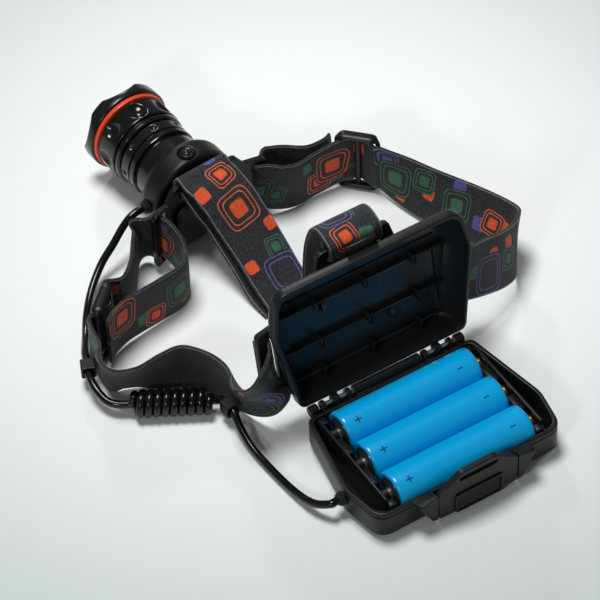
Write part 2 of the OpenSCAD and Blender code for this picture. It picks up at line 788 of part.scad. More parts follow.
module accent_ring() color("#e8561f") headed() turned() polygon([
    [neck_r, accent_y], [accent_d / 2 - 0.3, accent_y], [accent_d / 2, accent_y + 0.3],
    [accent_d / 2, bezel_y - 0.3], [accent_d / 2 - 0.3, bezel_y], [neck_r, bezel_y]
]);

module zoom_sleeve() color("#15161a") headed() difference() {
    r = sleeve_d / 2;
    y0 = sleeve_y + 0.6;
    turned() polygon([
        [slide_r + run_fit, y0], [r - 1.2, y0], [r - 0.4, y0 + 0.8], [r - 0.4, y0 + 2], [r - 1.1, y0 + 2.4],
        [r - 1.1, y0 + 3], [r, y0 + 3.4], [r, accent_y - 0.8], [r - 0.6, accent_y],
        [neck_r, accent_y], [neck_r, bezel_y + 1.4], [lens_r + 0.1, bezel_y + 1.4], [lens_r + 0.1, lens_y],
        [slide_r + run_fit, lens_y]
    ]);
    around(8, r + 1.9, y0 + 8.6) sphere(r = 4.4);
}

module lens() color([0.85, 0.92, 1, 0.5]) headed() {
    dome_r = (pow(lens_r - 1, 2) + lens_rise * lens_rise) / (2 * lens_rise);
    dome_y = lens_y + lens_edge + lens_rise - dome_r;
    half = asin((lens_r - 1) / dome_r);
    turned() polygon(concat(
        [[0, lens_y], [lens_r, lens_y], [lens_r, lens_y + lens_edge]],
        [for (k = [0:12]) let (a = half * (1 - k / 12)) [dome_r * sin(a), dome_y + dome_r * cos(a)]]
    ));
}

module lamp_barrel() color("#1a1b1f") headed() difference() {
    c = collar_d / 2;
    rear = housing_l - housing_wall;
    collar = sleeve_y - 9;
    turned() polygon([
        [barrel_in, rear - flange_l], [flange_r, rear - flange_l], [flange_r, rear],
        [barrel_r, rear], [barrel_r, collar - 2], [barrel_r - 0.9, collar - 1.6], [barrel_r - 0.9, collar - 0.4],
        [c - 0.6, collar], [c, collar + 0.6], [c, collar + 2.4], [c - 0.7, collar + 2.8], [c - 0.7, collar + 3.6],
        [c, collar + 4], [c, sleeve_y - 0.6], [c - 0.6, sleeve_y],
        [slide_r, sleeve_y], [slide_r, sleeve_y + 3], [slide_r - 0.9, sleeve_y + 3],
        [slide_r - 0.9, sleeve_y + 4.6], [slide_r, sleeve_y + 4.6], [slide_r, sleeve_y + slide_l],
        [barrel_in, sleeve_y + slide_l]
    ]);
    around(8, c + 0.9, collar + 6.3) sphere(r = 1.8);
}

module barrel_oring() color("#101010") headed() turned() translate([slide_r - 0.5, sleeve_y + 3.8])
    square([0.8, 1.2], center = true);

module led_pill() color("#b9bcc0") headed() translate([0, sleeve_y + slide_l - pill_l, 0]) rotate([-90, 0, 0])
    cylinder(r = barrel_in, h = pill_l);
module led_board() color("#e6e6e2") headed() translate([0, sleeve_y + slide_l, 0]) rotate([-90, 0, 0])
    cylinder(r = led_board_r, h = led_board_t);
module led_emitter() color("#f0d86a") headed() translate([0, sleeve_y + slide_l + led_board_t, 0]) {
    translate([-chip_w / 2, 0, -chip_w / 2]) cube([chip_w, chip_t, chip_w]);
    translate([0, chip_t, 0]) rotate([-90, 0, 0]) cylinder(r = chip_dome_r, h = chip_dome_t);
}
module driver_board() color("#2c5136") headed() translate([0, housing_l + driver_y, 0]) rotate([-90, 0, 0])
    cylinder(r = barrel_in - driver_gap, h = driver_t);

module rear_housing() color("#2b2b2e") headed() difference() {
    union() {
        difference() {
            turned() polygon([
                [0, 0], [housing_r - 2, 0], [housing_r - 0.6, 0.6], [housing_r, 2],
                [housing_r, housing_l - 1.6], [housing_r - 0.5, housing_l - 0.5], [housing_r - 1.6, housing_l],
                [barrel_r + run_fit, housing_l], [barrel_r + run_fit, housing_l - housing_wall],
                [housing_r - housing_wall, housing_l - housing_wall], [housing_r - housing_wall, housing_wall],
                [0, housing_wall]
            ]);
            translate([0, button_y, housing_r - 6]) cylinder(r = button_r + 0.1, h = 10);
            translate([-housing_r + 5, gland_y, 0]) rotate([0, -90, 0]) cylinder(r = gland_r, h = 10);
        }
        across_x(0, tilt_y, tilt_z, tilt_lug_r, tilt_lug_l);
        translate([-tilt_lug_l / 2, tilt_y, tilt_z]) cube([tilt_lug_l, housing_wall / 2 - tilt_y, tilt_lug_r]);
    }
    across_x(0, tilt_y, tilt_z, tilt_r + run_fit, tilt_lug_l + 2);
}

module power_button() color("#3a3a3e") headed() translate([0, button_y, 0]) rotate_extrude() polygon([
    [0, housing_r - 2.2], [button_r, housing_r - 2.2], [button_r, housing_r + 0.4],
    [button_r - 0.6, housing_r + 1], [0, housing_r + 1.2]
]);
module button_switch() color("#8a8d92") headed()
    translate([-3, housing_wall, housing_r - 7.4]) cube([6, 5.4, 4]);

module lamp_gland() color("#18181a") headed() translate([-housing_r, gland_y, 0]) rotate([0, -90, 0]) {
    translate([0, 0, -housing_wall - 0.8]) cylinder(r = gland_r, h = housing_wall + 0.8 + gland_l);
    translate([0, 0, 0.2]) cylinder(r = gland_r + 0.8, h = gland_l - 0.8);
}

// Forehead plate

module tilt_pin() color("silver") headed()
    across_x(0, tilt_y, tilt_z, tilt_r, tilt_lug_l + 2 * tilt_fork_t + 1);

// A bent sheet around the forehead, between two radii
module bent(outer, inner) translate([0, plate_y - plate_r, 0]) difference() {
    cylinder(r = outer, h = crown_top + 1, $fn = 180);
    translate([0, 0, -1]) cylinder(r = inner, h = crown_top + 3, $fn = 180);
}

// An outline seen from the front, cut straight through along the lamp's axis
module through_y(points) translate([0, plate_y + 10, 0]) rotate([90, 0, 0]) linear_extrude(40) polygon(points);

plate_half = plate_w / 2;
plate_outline = rounded(
    [
        [plate_half, plate_low], [plate_half, plate_low + plate_h], [crown_half + 4, plate_low + plate_h],
        [crown_half, crown_top], [-crown_half, crown_top], [-crown_half - 4, plate_low + plate_h],
        [-plate_half, plate_low + plate_h], [-plate_half, plate_low]
    ],
    [2.6, 2.6, 2, 2.4, 2.4, 2, 2.6, 2.6]
);

module forehead_plate() color("#232427") placed() difference() {
    union() {
        intersection() {
            bent(plate_r, plate_r - plate_t);
            through_y(plate_outline);
        }
        translate([0, 0, head_z])
            for (s = [-1, 1]) tilt_fork(s * (tilt_lug_l / 2 + tilt_gap + tilt_fork_t / 2));
    }
    for (s = [-1, 1]) translate([s * plate_slot_x, plate_y, plate_slot_z])
        cube([slot_w, 30, slot_l], center = true);
    translate([0, plate_y, crown_mid]) cube([slot_l, 30, crown_slot], center = true);
    translate([0, 0, head_z]) across_x(0, tilt_y, tilt_z, tilt_r, tilt_lug_l + 2 * tilt_fork_t + 4);
    translate([0, 0, head_z]) across_x(0, tilt_y, tilt_z, tilt_lug_r + tilt_gap, tilt_lug_l + 2 * tilt_gap);
}

module tilt_fork(x) {
    across_x(x, tilt_y, tilt_z, tilt_lug_r, tilt_fork_t);
    translate([x - tilt_fork_t / 2, plate_y - plate_t / 2, tilt_z - tilt_lug_r / 2])
        cube([tilt_fork_t, tilt_y - plate_y + plate_t / 2, 1.5 * tilt_lug_r]);
}

module forehead_pad() color("#3b3c40") placed() intersection() {
    bent(plate_r - plate_t, plate_r - plate_t - pad_t);
    through_y(rounded(
        [[pad_half, pad_low], [pad_half, pad_high], [-pad_half, pad_high], [-pad_half, pad_low]],
        [pad_corner, pad_corner, pad_corner, pad_corner]
    ));
}

// Straps

module top_strap() color("#3a3b40") webbing(top_stations, 3);
module left_strap() color("#3a3b40") webbing(left_stations, 3);
module right_strap() color("#3a3b40") webbing(right_stations, 3);

module slider(at, turn) color("#1b1b1e") translate(at) rotate([0, 0, turn]) {
    difference() {
        cube([slider_w, slider_t, slider_h], center = true);
        for (s = [-1, 1]) translate([s * slider_cross, 0, 0])
            cube([slider_window, slider_t + 2, slider_h - 2 * slider_rail], center = true);
    }
    for (s = [-1, 1]) translate([0, 0, s * (slider_h - slider_rail) / 2]) {
        cube([slider_w - rail_t, rail_t, slider_rail], center = true);
        for (e = [-1, 1]) translate([e * (slider_w - rail_t) / 2, 0, 0])
            cylinder(d = rail_t, h = slider_rail, center = true);
    }
}
module left_slider() slider(left_slider_at, left_slider_turn);
module right_slider() slider(right_slider_at, right_slider_turn);

// Cable

module cable_lamp_run() color("#141416") cord(lamp_run, cable_r, 2, 8);
module cable_mid_run() color("#141416") cord(mid_run, cable_r, 2, 8);
module cable_coil() color("#141416") cord([coil_start, (coil_start + coil_end) / 2, coil_end], coil_r, 2, 12);
module cable_box_run() color("#141416") cord(box_run, cable_r, 2, 8);

// A block on the webbing with a hole for the cable
module cable_clip(at, turn) color("#18181a") translate(at) rotate([0, 0, turn]) difference() {
    translate([-clip_l / 2, -clip_reach, -clip_half]) cube([clip_l, clip_reach + clip_half, 2 * clip_half]);
    across_x(0, 0, 0, cable_r + clip_play, clip_l + 2);
}
module clip_one() cable_clip(clip_one_at, clip_one_turn);
module clip_two() cable_clip(clip_two_at, clip_two_turn);

battery_tray();
strap_lid();
hinge_pins();
latch();
latch_grip();
latch_pin();
cell_rear();
cell_middle();
cell_front();
cell_caps();
spring_board();
contact_springs();
tab_board();
contact_tabs();
tray_gland();
bezel();
accent_ring();
zoom_sleeve();
lens();
lamp_barrel();
barrel_oring();
led_pill();
led_board();
led_emitter();
driver_board();
rear_housing();
power_button();
button_switch();
lamp_gland();
tilt_pin();
forehead_plate();
forehead_pad();
top_strap();
left_strap();
right_strap();
left_slider();
right_slider();
cable_lamp_run();
cable_mid_run();
cable_coil();
cable_box_run();
clip_one();
clip_two();
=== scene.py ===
# %% [markdown]
# # A head torch with an open battery box
# This lesson dresses a finished CAD part for a picture: a zoom lamp on a forehead plate, printed
# elastic webbing, a curly cable and a hinged box for three cells. The CAD part gives the places and
# the joints, and Blender gives every surface its real softness, edge and finish.

# %% Load the CAD part
import math

import bmesh
import bpy
import numpy as np
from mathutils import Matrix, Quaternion, Vector


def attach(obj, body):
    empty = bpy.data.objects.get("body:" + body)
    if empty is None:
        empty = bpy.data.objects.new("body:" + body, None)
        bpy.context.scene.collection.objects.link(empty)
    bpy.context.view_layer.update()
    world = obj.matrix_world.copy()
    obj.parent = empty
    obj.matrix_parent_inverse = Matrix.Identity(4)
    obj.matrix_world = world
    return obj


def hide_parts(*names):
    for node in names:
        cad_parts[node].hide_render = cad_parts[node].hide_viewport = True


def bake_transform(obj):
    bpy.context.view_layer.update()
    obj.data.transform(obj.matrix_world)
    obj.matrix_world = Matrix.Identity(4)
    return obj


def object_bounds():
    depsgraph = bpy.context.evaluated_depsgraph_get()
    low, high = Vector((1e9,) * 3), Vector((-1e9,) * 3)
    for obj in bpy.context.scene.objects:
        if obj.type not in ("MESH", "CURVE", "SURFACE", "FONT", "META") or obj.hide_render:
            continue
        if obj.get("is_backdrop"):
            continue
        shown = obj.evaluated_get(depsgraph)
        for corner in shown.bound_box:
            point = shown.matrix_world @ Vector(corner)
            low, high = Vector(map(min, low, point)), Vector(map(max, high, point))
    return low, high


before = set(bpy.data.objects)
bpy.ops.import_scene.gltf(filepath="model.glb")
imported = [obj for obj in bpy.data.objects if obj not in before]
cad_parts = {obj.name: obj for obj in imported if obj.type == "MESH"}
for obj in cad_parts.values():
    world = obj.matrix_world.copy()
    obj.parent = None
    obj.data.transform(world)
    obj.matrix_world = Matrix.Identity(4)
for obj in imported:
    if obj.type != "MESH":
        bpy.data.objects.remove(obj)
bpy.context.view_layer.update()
scene = bpy.context.scene
mm = 0.001

# %% [markdown]
# ## The camera
# The picture was taken with a long lens from above the box's free corner. A long lens keeps the far
# lamp nearly as large as the near box. The camera is placed by the two angles of its line of sight
# and its distance from the middle of the object, and it leans a little to one side.

# %% Place the camera
aim = Vector((-0.0121, 0.0778, 0.025))
camera_turn, camera_height, camera_lean = math.radians(-120.44), math.radians(47.41), math.radians(-2.39)
camera_distance = 1.395
camera_back = Vector((math.cos(camera_height) * math.cos(camera_turn),
                      math.cos(camera_height) * math.sin(camera_turn), math.sin(camera_height)))
camera_data = bpy.data.cameras.new("picture_camera")
camera_data.lens = 204.9
camera_data.sensor_width = 36
camera = bpy.data.objects.new("picture_camera", camera_data)
camera.location = aim + camera_back * camera_distance
look = (-camera_back).to_track_quat("-Z", "Y") @ Quaternion((0, 0, 1), camera_lean)
camera.rotation_euler = look.to_euler()
scene.collection.objects.link(camera)
scene.camera = camera
print("camera at", [round(v, 3) for v in camera.location])

# %% [markdown]
# ## Shader sums as Python
# A material in Blender is a tree of nodes, and long sums of Math nodes are hard to read. Here one
# small class wraps a socket, so that `1 - mask * 0.5` adds the Math nodes by itself. A second class
# holds a material and the one method that adds any other node to it.

# %% A value in a material
class Value:
    """A number that changes over a surface, which Python sums can be written with."""

    def __init__(self, finish, socket):
        self.finish = finish
        self.socket = socket

    def maths(self, operation, *inputs):
        return self.finish.node("Math", {"operation": operation}, inputs)

    def __add__(self, other):
        return self.maths("ADD", self, other)

    def __radd__(self, other):
        return self.maths("ADD", other, self)

    def __sub__(self, other):
        return self.maths("SUBTRACT", self, other)

    def __rsub__(self, other):
        return self.maths("SUBTRACT", other, self)

    def __mul__(self, other):
        return self.maths("MULTIPLY", self, other)

    def __rmul__(self, other):
        return self.maths("MULTIPLY", other, self)

    def __truediv__(self, other):
        return self.maths("DIVIDE", self, other)

    def __rtruediv__(self, other):
        return self.maths("DIVIDE", other, self)

    def __pow__(self, other):
        return self.maths("POWER", self, other)

    def __abs__(self):
        return self.maths("ABSOLUTE", self)

    def __lt__(self, other):
        return self.maths("LESS_THAN", self, other)

    def __gt__(self, other):
        return self.maths("GREATER_THAN", self, other)

    def larger(self, other):
        return self.maths("MAXIMUM", self, other)

    def smaller(self, other):
        return self.maths("MINIMUM", self, other)

    def whole(self):
        return self.maths("FLOOR", self)

    def wave(self):
        return self.maths("SINE", self)

    def clamped(self):
        return self.larger(0).smaller(1)


# %% A material and its nodes
def colour(red, green, blue):
    """A colour as it is read off a screen, from 0 to 255, in the linear form that shaders use."""
    shares = [c / 255 for c in (red, green, blue)]
    linear = [s / 12.92 if s < 0.04045 else ((s + 0.055) / 1.055) ** 2.4 for s in shares]
    return (*linear, 1)


class Finish:
    """A material with a Principled shader, and the method that adds nodes to it."""

    def __init__(self, name, constants=None):
        self.material = bpy.data.materials.new(name)
        self.material.use_nodes = True
        self.tree = self.material.node_tree
        self.shader = self.tree.nodes["Principled BSDF"]
        for socket, value in (constants or {}).items():
            self.shader.inputs[socket].default_value = value

    def feed(self, socket, value):
        if isinstance(value, Value):
            self.tree.links.new(value.socket, socket)
        else:
            socket.default_value = value

    def node(self, kind, settings=None, sockets=(), out=0):
        made = self.tree.nodes.new("ShaderNode" + kind)
        for name, value in (settings or {}).items():
            if name == "stops":
                self.set_stops(made.color_ramp, value)
            else:
                setattr(made, name, value)
        pairs = sockets.items() if isinstance(sockets, dict) else enumerate(sockets)
        for name, value in pairs:
            self.feed(made.inputs[name], value)
        return Value(self, made.outputs[out])

    @staticmethod
    def set_stops(ramp, stops):
        ramp.interpolation = "CONSTANT"
        while len(ramp.elements) < len(stops):
            ramp.elements.new(1)
        for element, (place, shade) in zip(ramp.elements, stops):
            element.position = place
            element.color = shade

    def mix(self, share, first, second):
        return self.node("Mix", {"data_type": "RGBA"}, {0: share, 6: first, 7: second}, out=2)

    def noise(self, scale, detail=2, place=None):
        place = place or self.node("TexCoord", out="Object")
        return self.node("TexNoise", {}, {"Vector": place, "Scale": scale, "Detail": detail})

    def wear(self, **sockets):
        for name, value in sockets.items():
            self.feed(self.shader.inputs[name.replace("_", " ")], value)
        return self

    def bump(self, height, strength, depth):
        made = self.node("Bump", {}, {"Height": height, "Strength": strength, "Distance": depth})
        return self.wear(Normal=made)


# %% [markdown]
# ## Plastics and rubbers
# Moulded black plastic is never one flat black. It has a fine spark-eroded grain, patches where
# fingers have polished it, and a few specks of dust. Each of these is a noise at its own scale: the
# grain goes to a Bump node, the patches to the roughness and the dust to the colour.

# %% Moulded plastics
patch_scale, speck_scale, grain_depth = 45, 1900, 0.00008
dust_shade = colour(170, 170, 168)


def moulded(name, shade, gloss, grain=0.35, grain_size=1500, dust=0.05, shine=0.28):
    """A moulded plastic: gloss is its roughness, grain its texture's strength, shine its reflection."""
    finish = Finish(name, {"IOR": 1.5, "Specular IOR Level": shine})
    patches = finish.noise(patch_scale, 3)
    specks = (finish.noise(speck_scale, 1) - 0.72).clamped() * 4 * dust
    light = tuple(min(1, 0.012 + c * 1.8) for c in shade[:3]) + (1,)
    base = finish.mix((patches - 0.35).clamped() * 0.4, shade, light)
    finish.wear(Base_Color=finish.mix(specks.clamped(), base, dust_shade))
    finish.wear(Roughness=gloss + (patches - 0.5) * 0.16)
    return finish.bump(finish.noise(grain_size, 2), grain, grain_depth)


box_plastic = moulded("box_plastic", colour(20, 21, 22), 0.4)
lid_lining = moulded("lid_lining", colour(31, 34, 36), 0.27, grain=0.1, grain_size=700, shine=0.3)
head_plastic = moulded("head_plastic", colour(14, 14, 15), 0.42, grain=0.4)
plate_plastic = moulded("plate_plastic", colour(18, 18, 20), 0.28, grain=0.15)
slider_plastic = moulded("slider_plastic", colour(16, 16, 18), 0.34, grain=0.25)
button_rubber = moulded("button_rubber", colour(24, 24, 26), 0.22, grain=0.1)
grip_rubber = moulded("grip_rubber", colour(34, 36, 36), 0.55, grain=0.6, grain_size=900)
cable_jacket = moulded("cable_jacket", colour(10, 10, 12), 0.17, grain=0.08, grain_size=800, dust=0.02,
                       shine=0.4)
gland_rubber = moulded("gland_rubber", colour(20, 20, 22), 0.5, grain=0.3)
seal_rubber = moulded("seal_rubber", colour(14, 14, 15), 0.45, grain=0.2)
print("plastics and rubbers:", len(bpy.data.materials))

# %% [markdown]
# ## Metals
# Anodised aluminium keeps the turning marks of the lathe under its colour. A wave of the distance
# along the lamp gives those fine rings. Steel pins and brass contacts are plain metals with a soft
# brushed roughness.

# %% Metals
brush_scale, smear_scale, brush_depth = 900, 160, 0.00003
touch_scale, turning_depth = 70, 0.00001


def bare_metal(name, shade, gloss, smear=0.12):
    """A plain metal with a brushed colour and a smeared shine."""
    finish = Finish(name, {"Metallic": 1})
    brushed = finish.noise(brush_scale, 2)
    finish.wear(Base_Color=finish.mix(brushed * 0.5, shade, tuple(0.6 * c for c in shade[:3]) + (1,)))
    finish.wear(Roughness=gloss + (finish.noise(smear_scale, 3) - 0.5) * smear)
    return finish.bump(brushed, 0.1, brush_depth)


def anodised(name, shade, gloss, ring_size=0.00035):
    """A dyed coat on turned aluminium, with the lathe's rings and the marks of hands."""
    finish = Finish(name, {"IOR": 1.5, "Specular IOR Level": 0.4, "Coat Roughness": 0.1})
    place = finish.node("TexCoord", out="Object")
    along = finish.node("SeparateXYZ", {}, [place], out="Y")
    rings = (along / ring_size).wave()
    handled = finish.noise(touch_scale, 3, place)
    lighter = tuple(0.006 + c * 1.5 for c in shade[:3]) + (1,)
    finish.wear(Base_Color=finish.mix((handled - 0.4).clamped() * 0.4, shade, lighter))
    finish.wear(Roughness=gloss + (handled - 0.5) * 0.1)
    finish.wear(Coat_Weight=0.2 + (handled - 0.5) * 0.2)
    return finish.bump(rings, 0.03, turning_depth)


pin_steel = bare_metal("pin_steel", colour(205, 204, 200), 0.24)
dark_steel = bare_metal("dark_steel", colour(52, 51, 50), 0.42)
contact_brass = bare_metal("contact_brass", colour(214, 180, 112), 0.25)
bare_aluminium = bare_metal("bare_aluminium", colour(190, 192, 196), 0.35)
black_anodised = anodised("black_anodised", colour(10, 11, 12), 0.2)
satin_anodised = anodised("satin_anodised", colour(12, 13, 14), 0.26)
accent_orange = anodised("accent_orange", colour(222, 70, 30), 0.4)
print("metals:", pin_steel.material.name, black_anodised.material.name)

# %% [markdown]
# ## Helpers for meshes
# Most pieces here are skins over rings: a ring is a closed row of points, and the skin joins each
# ring to the next. The same helper makes a tray from its outlines, a lamp from turned circles and a
# cable from circles along its route. All sizes are in millimetres until the mesh is made.

# %% Skins over rings
def skin(rings, caps=True, wrap=False):
    """Points and faces over equal closed rings; wrap joins the last ring to the first."""
    count = len(rings[0])
    points = [tuple(p) for ring in rings for p in ring]
    faces = []
    for i in range(len(rings) if wrap else len(rings) - 1):
        low, high = i * count, (i + 1) % len(rings) * count
        for j in range(count):
            k = (j + 1) % count
            faces.append((low + j, low + k, high + k, high + j))
    if caps and not wrap:
        faces.append(tuple(reversed(range(count))))
        faces.append(tuple(range(len(points) - count, len(points))))
    return points, faces


def together(*parts):
    """Several lists of points and faces as one."""
    points, faces = [], []
    for part_points, part_faces in parts:
        start = len(points)
        points += part_points
        faces += [tuple(start + i for i in face) for face in part_faces]
    return points, faces


def moved(part, place):
    """A part with each of its points put through a function."""
    return [tuple(place(Vector(p))) for p in part[0]], part[1]


def make_piece(name, part, finish, sharp=40):
    """A smooth-shaded object from points in millimetres; edges over the sharp angle stay crisp."""
    mesh = bpy.data.meshes.new(name)
    mesh.from_pydata([tuple(c * mm for c in p) for p in part[0]], [], part[1])
    shape = bmesh.new()
    shape.from_mesh(mesh)
    bmesh.ops.recalc_face_normals(shape, faces=shape.faces)
    shape.to_mesh(mesh)
    shape.free()
    mesh.shade_smooth()
    mesh.set_sharp_from_angle(angle=math.radians(sharp))
    mesh.materials.append(finish.material)
    piece = bpy.data.objects.new(name, mesh)
    scene.collection.objects.link(piece)
    return piece


def soften(piece, width, steps=3, angle=35):
    """Rounds a piece's sharp edges."""
    bevel = piece.modifiers.new("rounded_edges", "BEVEL")
    bevel.width = width * mm
    bevel.segments = steps
    bevel.limit_method = "ANGLE"
    bevel.angle_limit = math.radians(angle)
    bevel.use_clamp_overlap = False
    bevel.harden_normals = True
    return piece


def settle(piece, body, slot, *nodes):
    """Puts a piece on its body and hides the CAD nodes that it stands for; slot is not used."""
    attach(piece, body)
    if nodes:
        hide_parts(*nodes)
    print(piece.name, "has", len(piece.data.polygons), "faces and rides on", body)
    return piece


# %% [markdown]
# ## The cable
# A thin black cable runs from the lamp to the box, with a curly stretch that takes up the length when the
# straps are pulled tight. A tube over rings suits it: the route is a short list of given points, and a spline
# makes the way between them smooth. A curve object with a round bevel would look the same, but a mesh keeps
# every ring where the route says. At its ends the curly stretch takes longer strides, as a wound cord does
# where it opens out to the straight.

# %% Routes
housing_r = 20.5
gland_l = 2.6
gland_y = 6.8
head_x, head_y, head_z, head_turn = -14, 157.5, 20.6, math.radians(5)


def head_at(p):
    """A point of the lamp, set in its place; the lamp's axis runs along +Y from its rear face."""
    x, y, z = p
    turn_x = x * math.cos(head_turn) - y * math.sin(head_turn)
    turn_y = x * math.sin(head_turn) + y * math.cos(head_turn)
    return Vector((head_x + turn_x, head_y + turn_y, z))


def smooth(points, steps):
    """A smooth way through points, with a number of steps in each gap."""
    rows = [np.array(p, float) for p in points]
    last = len(rows) - 1
    way = []
    for i in range(last):
        a, b, c, d = rows[max(i - 1, 0)], rows[i], rows[i + 1], rows[min(i + 2, last)]
        for k in range(steps):
            t = k / steps
            bend = (2 * a - 5 * b + 4 * c - d) * t * t + (3 * b - a - 3 * c + d) * t ** 3
            way.append(0.5 * (2 * b + (c - a) * t + bend))
    way.append(rows[-1])
    return way


cable_d = 3.4
clip_one_at, clip_one_turn = Vector((-96.9, 106.6, 9)), math.radians(66)
clip_two_at, clip_two_turn = Vector((-59.2, 57.5, 8)), math.radians(90)
coil_d = 12
coil_start, coil_end = Vector((-91.5, 82.6, 6.1)), Vector((-61.8, 65.4, 6.1))
coil_way = (coil_end - coil_start).normalized()
tray_gland = Vector((-49.35, -8, 8.5))
cord_gap, lead = 0.3, 3.2


def from_lamp(out):
    return head_at((-housing_r - gland_l - out, gland_y, head_z))


def from_clip(at, turn, out):
    return at + out * Vector((math.cos(turn), math.sin(turn), 0))


lamp_touch_down, box_lift_off, box_near_gland = (-72, 147.5, 4.5), (-60.6, 36, 2.6), (-56.4, -2, 5.4)
lamp_run = [
    from_lamp(cord_gap), from_lamp(lead), (-44.6, 161.4, 19.6), (-49, 160.2, 17), (-55, 157.8, 13),
    (-63, 154.5, 8.5), lamp_touch_down, (-80, 138, 2.4), (-87, 126.5, 3.6), (-93, 116, 7.2),
    from_clip(clip_one_at, clip_one_turn, lead), from_clip(clip_one_at, clip_one_turn, cord_gap),
]
mid_run = [
    from_clip(clip_one_at, clip_one_turn, -cord_gap), from_clip(clip_one_at, clip_one_turn, -lead),
    (-99.4, 97, 8.2), (-98.7, 90.5, 6.6), (-97, 86.7, 6.2), coil_start - lead * coil_way,
]
box_run = [
    (-60.2, 63.9, 7.2), from_clip(clip_two_at, clip_two_turn, lead), clip_two_at,
    from_clip(clip_two_at, clip_two_turn, -lead), (-60.3, 46, 5), box_lift_off, (-59.8, 22, 2.2),
    (-58.4, 8, 3), box_near_gland, tray_gland - Vector((lead, 0, 0)),
    tray_gland - Vector((lead / 2, 0, 0)), tray_gland - Vector((cord_gap, 0, 0)),
]
print("points of the three runs:", len(lamp_run), len(mid_run), len(box_run))

# %% The curly stretch
coil_turns = 9.5
coil_steps = 24
coil_ramp, coil_stretch = 0.5, 1.2
coil_r = (coil_d - cable_d) / 2
coil_across = coil_way.cross(Vector((0, 0, 1)))
coil_rise = Vector((0, 0, 1))


def eased(share):
    """A share from 0 to 1 that starts and ends gently."""
    return share * share * (3 - 2 * share)


def coil_points():
    """The helix, which opens out from the straight cable and closes in to it again."""
    last = int(coil_turns * coil_steps)
    opened = [min(1, min(i, last - i) / coil_steps / coil_ramp) for i in range(last + 1)]
    strides = [1 + coil_stretch * (1 - share) ** 2 for share in opened]
    points = []
    for i, share in enumerate(opened):
        radius = coil_r * eased(share)
        angle = 2 * math.pi * i / coil_steps
        out = math.cos(angle) * coil_across + math.sin(angle) * coil_rise
        points.append(coil_start.lerp(coil_end, sum(strides[:i]) / sum(strides[:-1])) + radius * out)
    return points


# %% Tubes along the routes
def even_turns(sides):
    """The angles of a full turn in even steps."""
    return [2 * math.pi * j / sides for j in range(sides)]


def tube(path, radius, sides=14):
    """A round tube along a path, which carries one side vector along so that it never twists."""
    rings = []
    side = Vector((0, 0, 1))
    for i, p in enumerate(path):
        ahead = Vector(path[min(i + 1, len(path) - 1)]) - Vector(path[max(i - 1, 0)])
        ahead.normalize()
        side = (side - ahead * side.dot(ahead)).normalized()
        other = ahead.cross(side)
        rings.append([Vector(p) + radius * (math.cos(a) * side + math.sin(a) * other)
                      for a in even_turns(sides)])
    return skin(rings)


def length_of(path):
    return sum((Vector(b) - Vector(a)).length for a, b in zip(path, path[1:]))


def in_metres(path):
    return [tuple(c * mm for c in p) for p in path]


def make_cord(name, path, lay, *nodes):
    """A stretch of cable with its route, its length and the CAD nodes that it stands for."""
    piece = make_piece(name, tube(path, cable_d / 2), cable_jacket)
    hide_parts(*nodes)
    route = in_metres(path)
    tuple(route[0])
    length_of(path) * mm
    print(name, "is", round(length_of(path)), "mm long")
    return piece


run_steps = 7
coil_tail = lead * 0.45
coil_path = smooth(mid_run, run_steps)[:-1] + coil_points()
after_coil = smooth([coil_end, coil_end + coil_tail * coil_way] + box_run, run_steps)
lamp_cable = make_cord("lamp_cable", smooth(lamp_run, run_steps), "loose", "cable_lamp_run")
curly_cable = make_cord("curly_cable", coil_path + after_coil[1:run_steps + 1], "coiled",
                        "cable_mid_run", "cable_coil")
box_cable = make_cord("box_cable", after_coil[run_steps:], "loose", "cable_box_run")
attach(curly_cable, "harness")
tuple(in_metres([from_lamp(lead)])[0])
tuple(in_metres([lamp_touch_down])[0])
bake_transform(lamp_cable)
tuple(in_metres([box_lift_off])[0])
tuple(in_metres([box_near_gland])[0])
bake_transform(box_cable)

# %% [markdown]
# ## The webbing's finish
# The straps are knitted elastic: fine ribs across, columns along, threads of slightly different grey
# and a pale line beside each selvedge. Most stretches have a common print of nested rounded squares.
# A shape with equal steps of |x|^5 + |y|^5 is a rounded square, so its rings are bands of that sum.
# White noise picks a new place, size and colour for every cell of the print. Three rows of squares lie
# over each other, small ones lowest, and some of the large squares have no core. An image could hold
# the print too, but sums stay sharp at any distance.

# %% Print of nested rounded squares
print_shades = [(0, colour(247, 96, 40)), (0.44, colour(92, 88, 166)), (0.7, colour(58, 116, 88))]
ring_shades = [(0, colour(236, 112, 72)), (0.44, colour(106, 104, 176)), (0.7, colour(66, 122, 92))]
squareness = 5
print_line = 0.3
shift_share, lean_share, least_size, size_range = 0.12, 0.3, 0.86, 0.28
coreless_share, core_edge, ground_edge, ground_reach = 0.12, 12, 14, 1.12


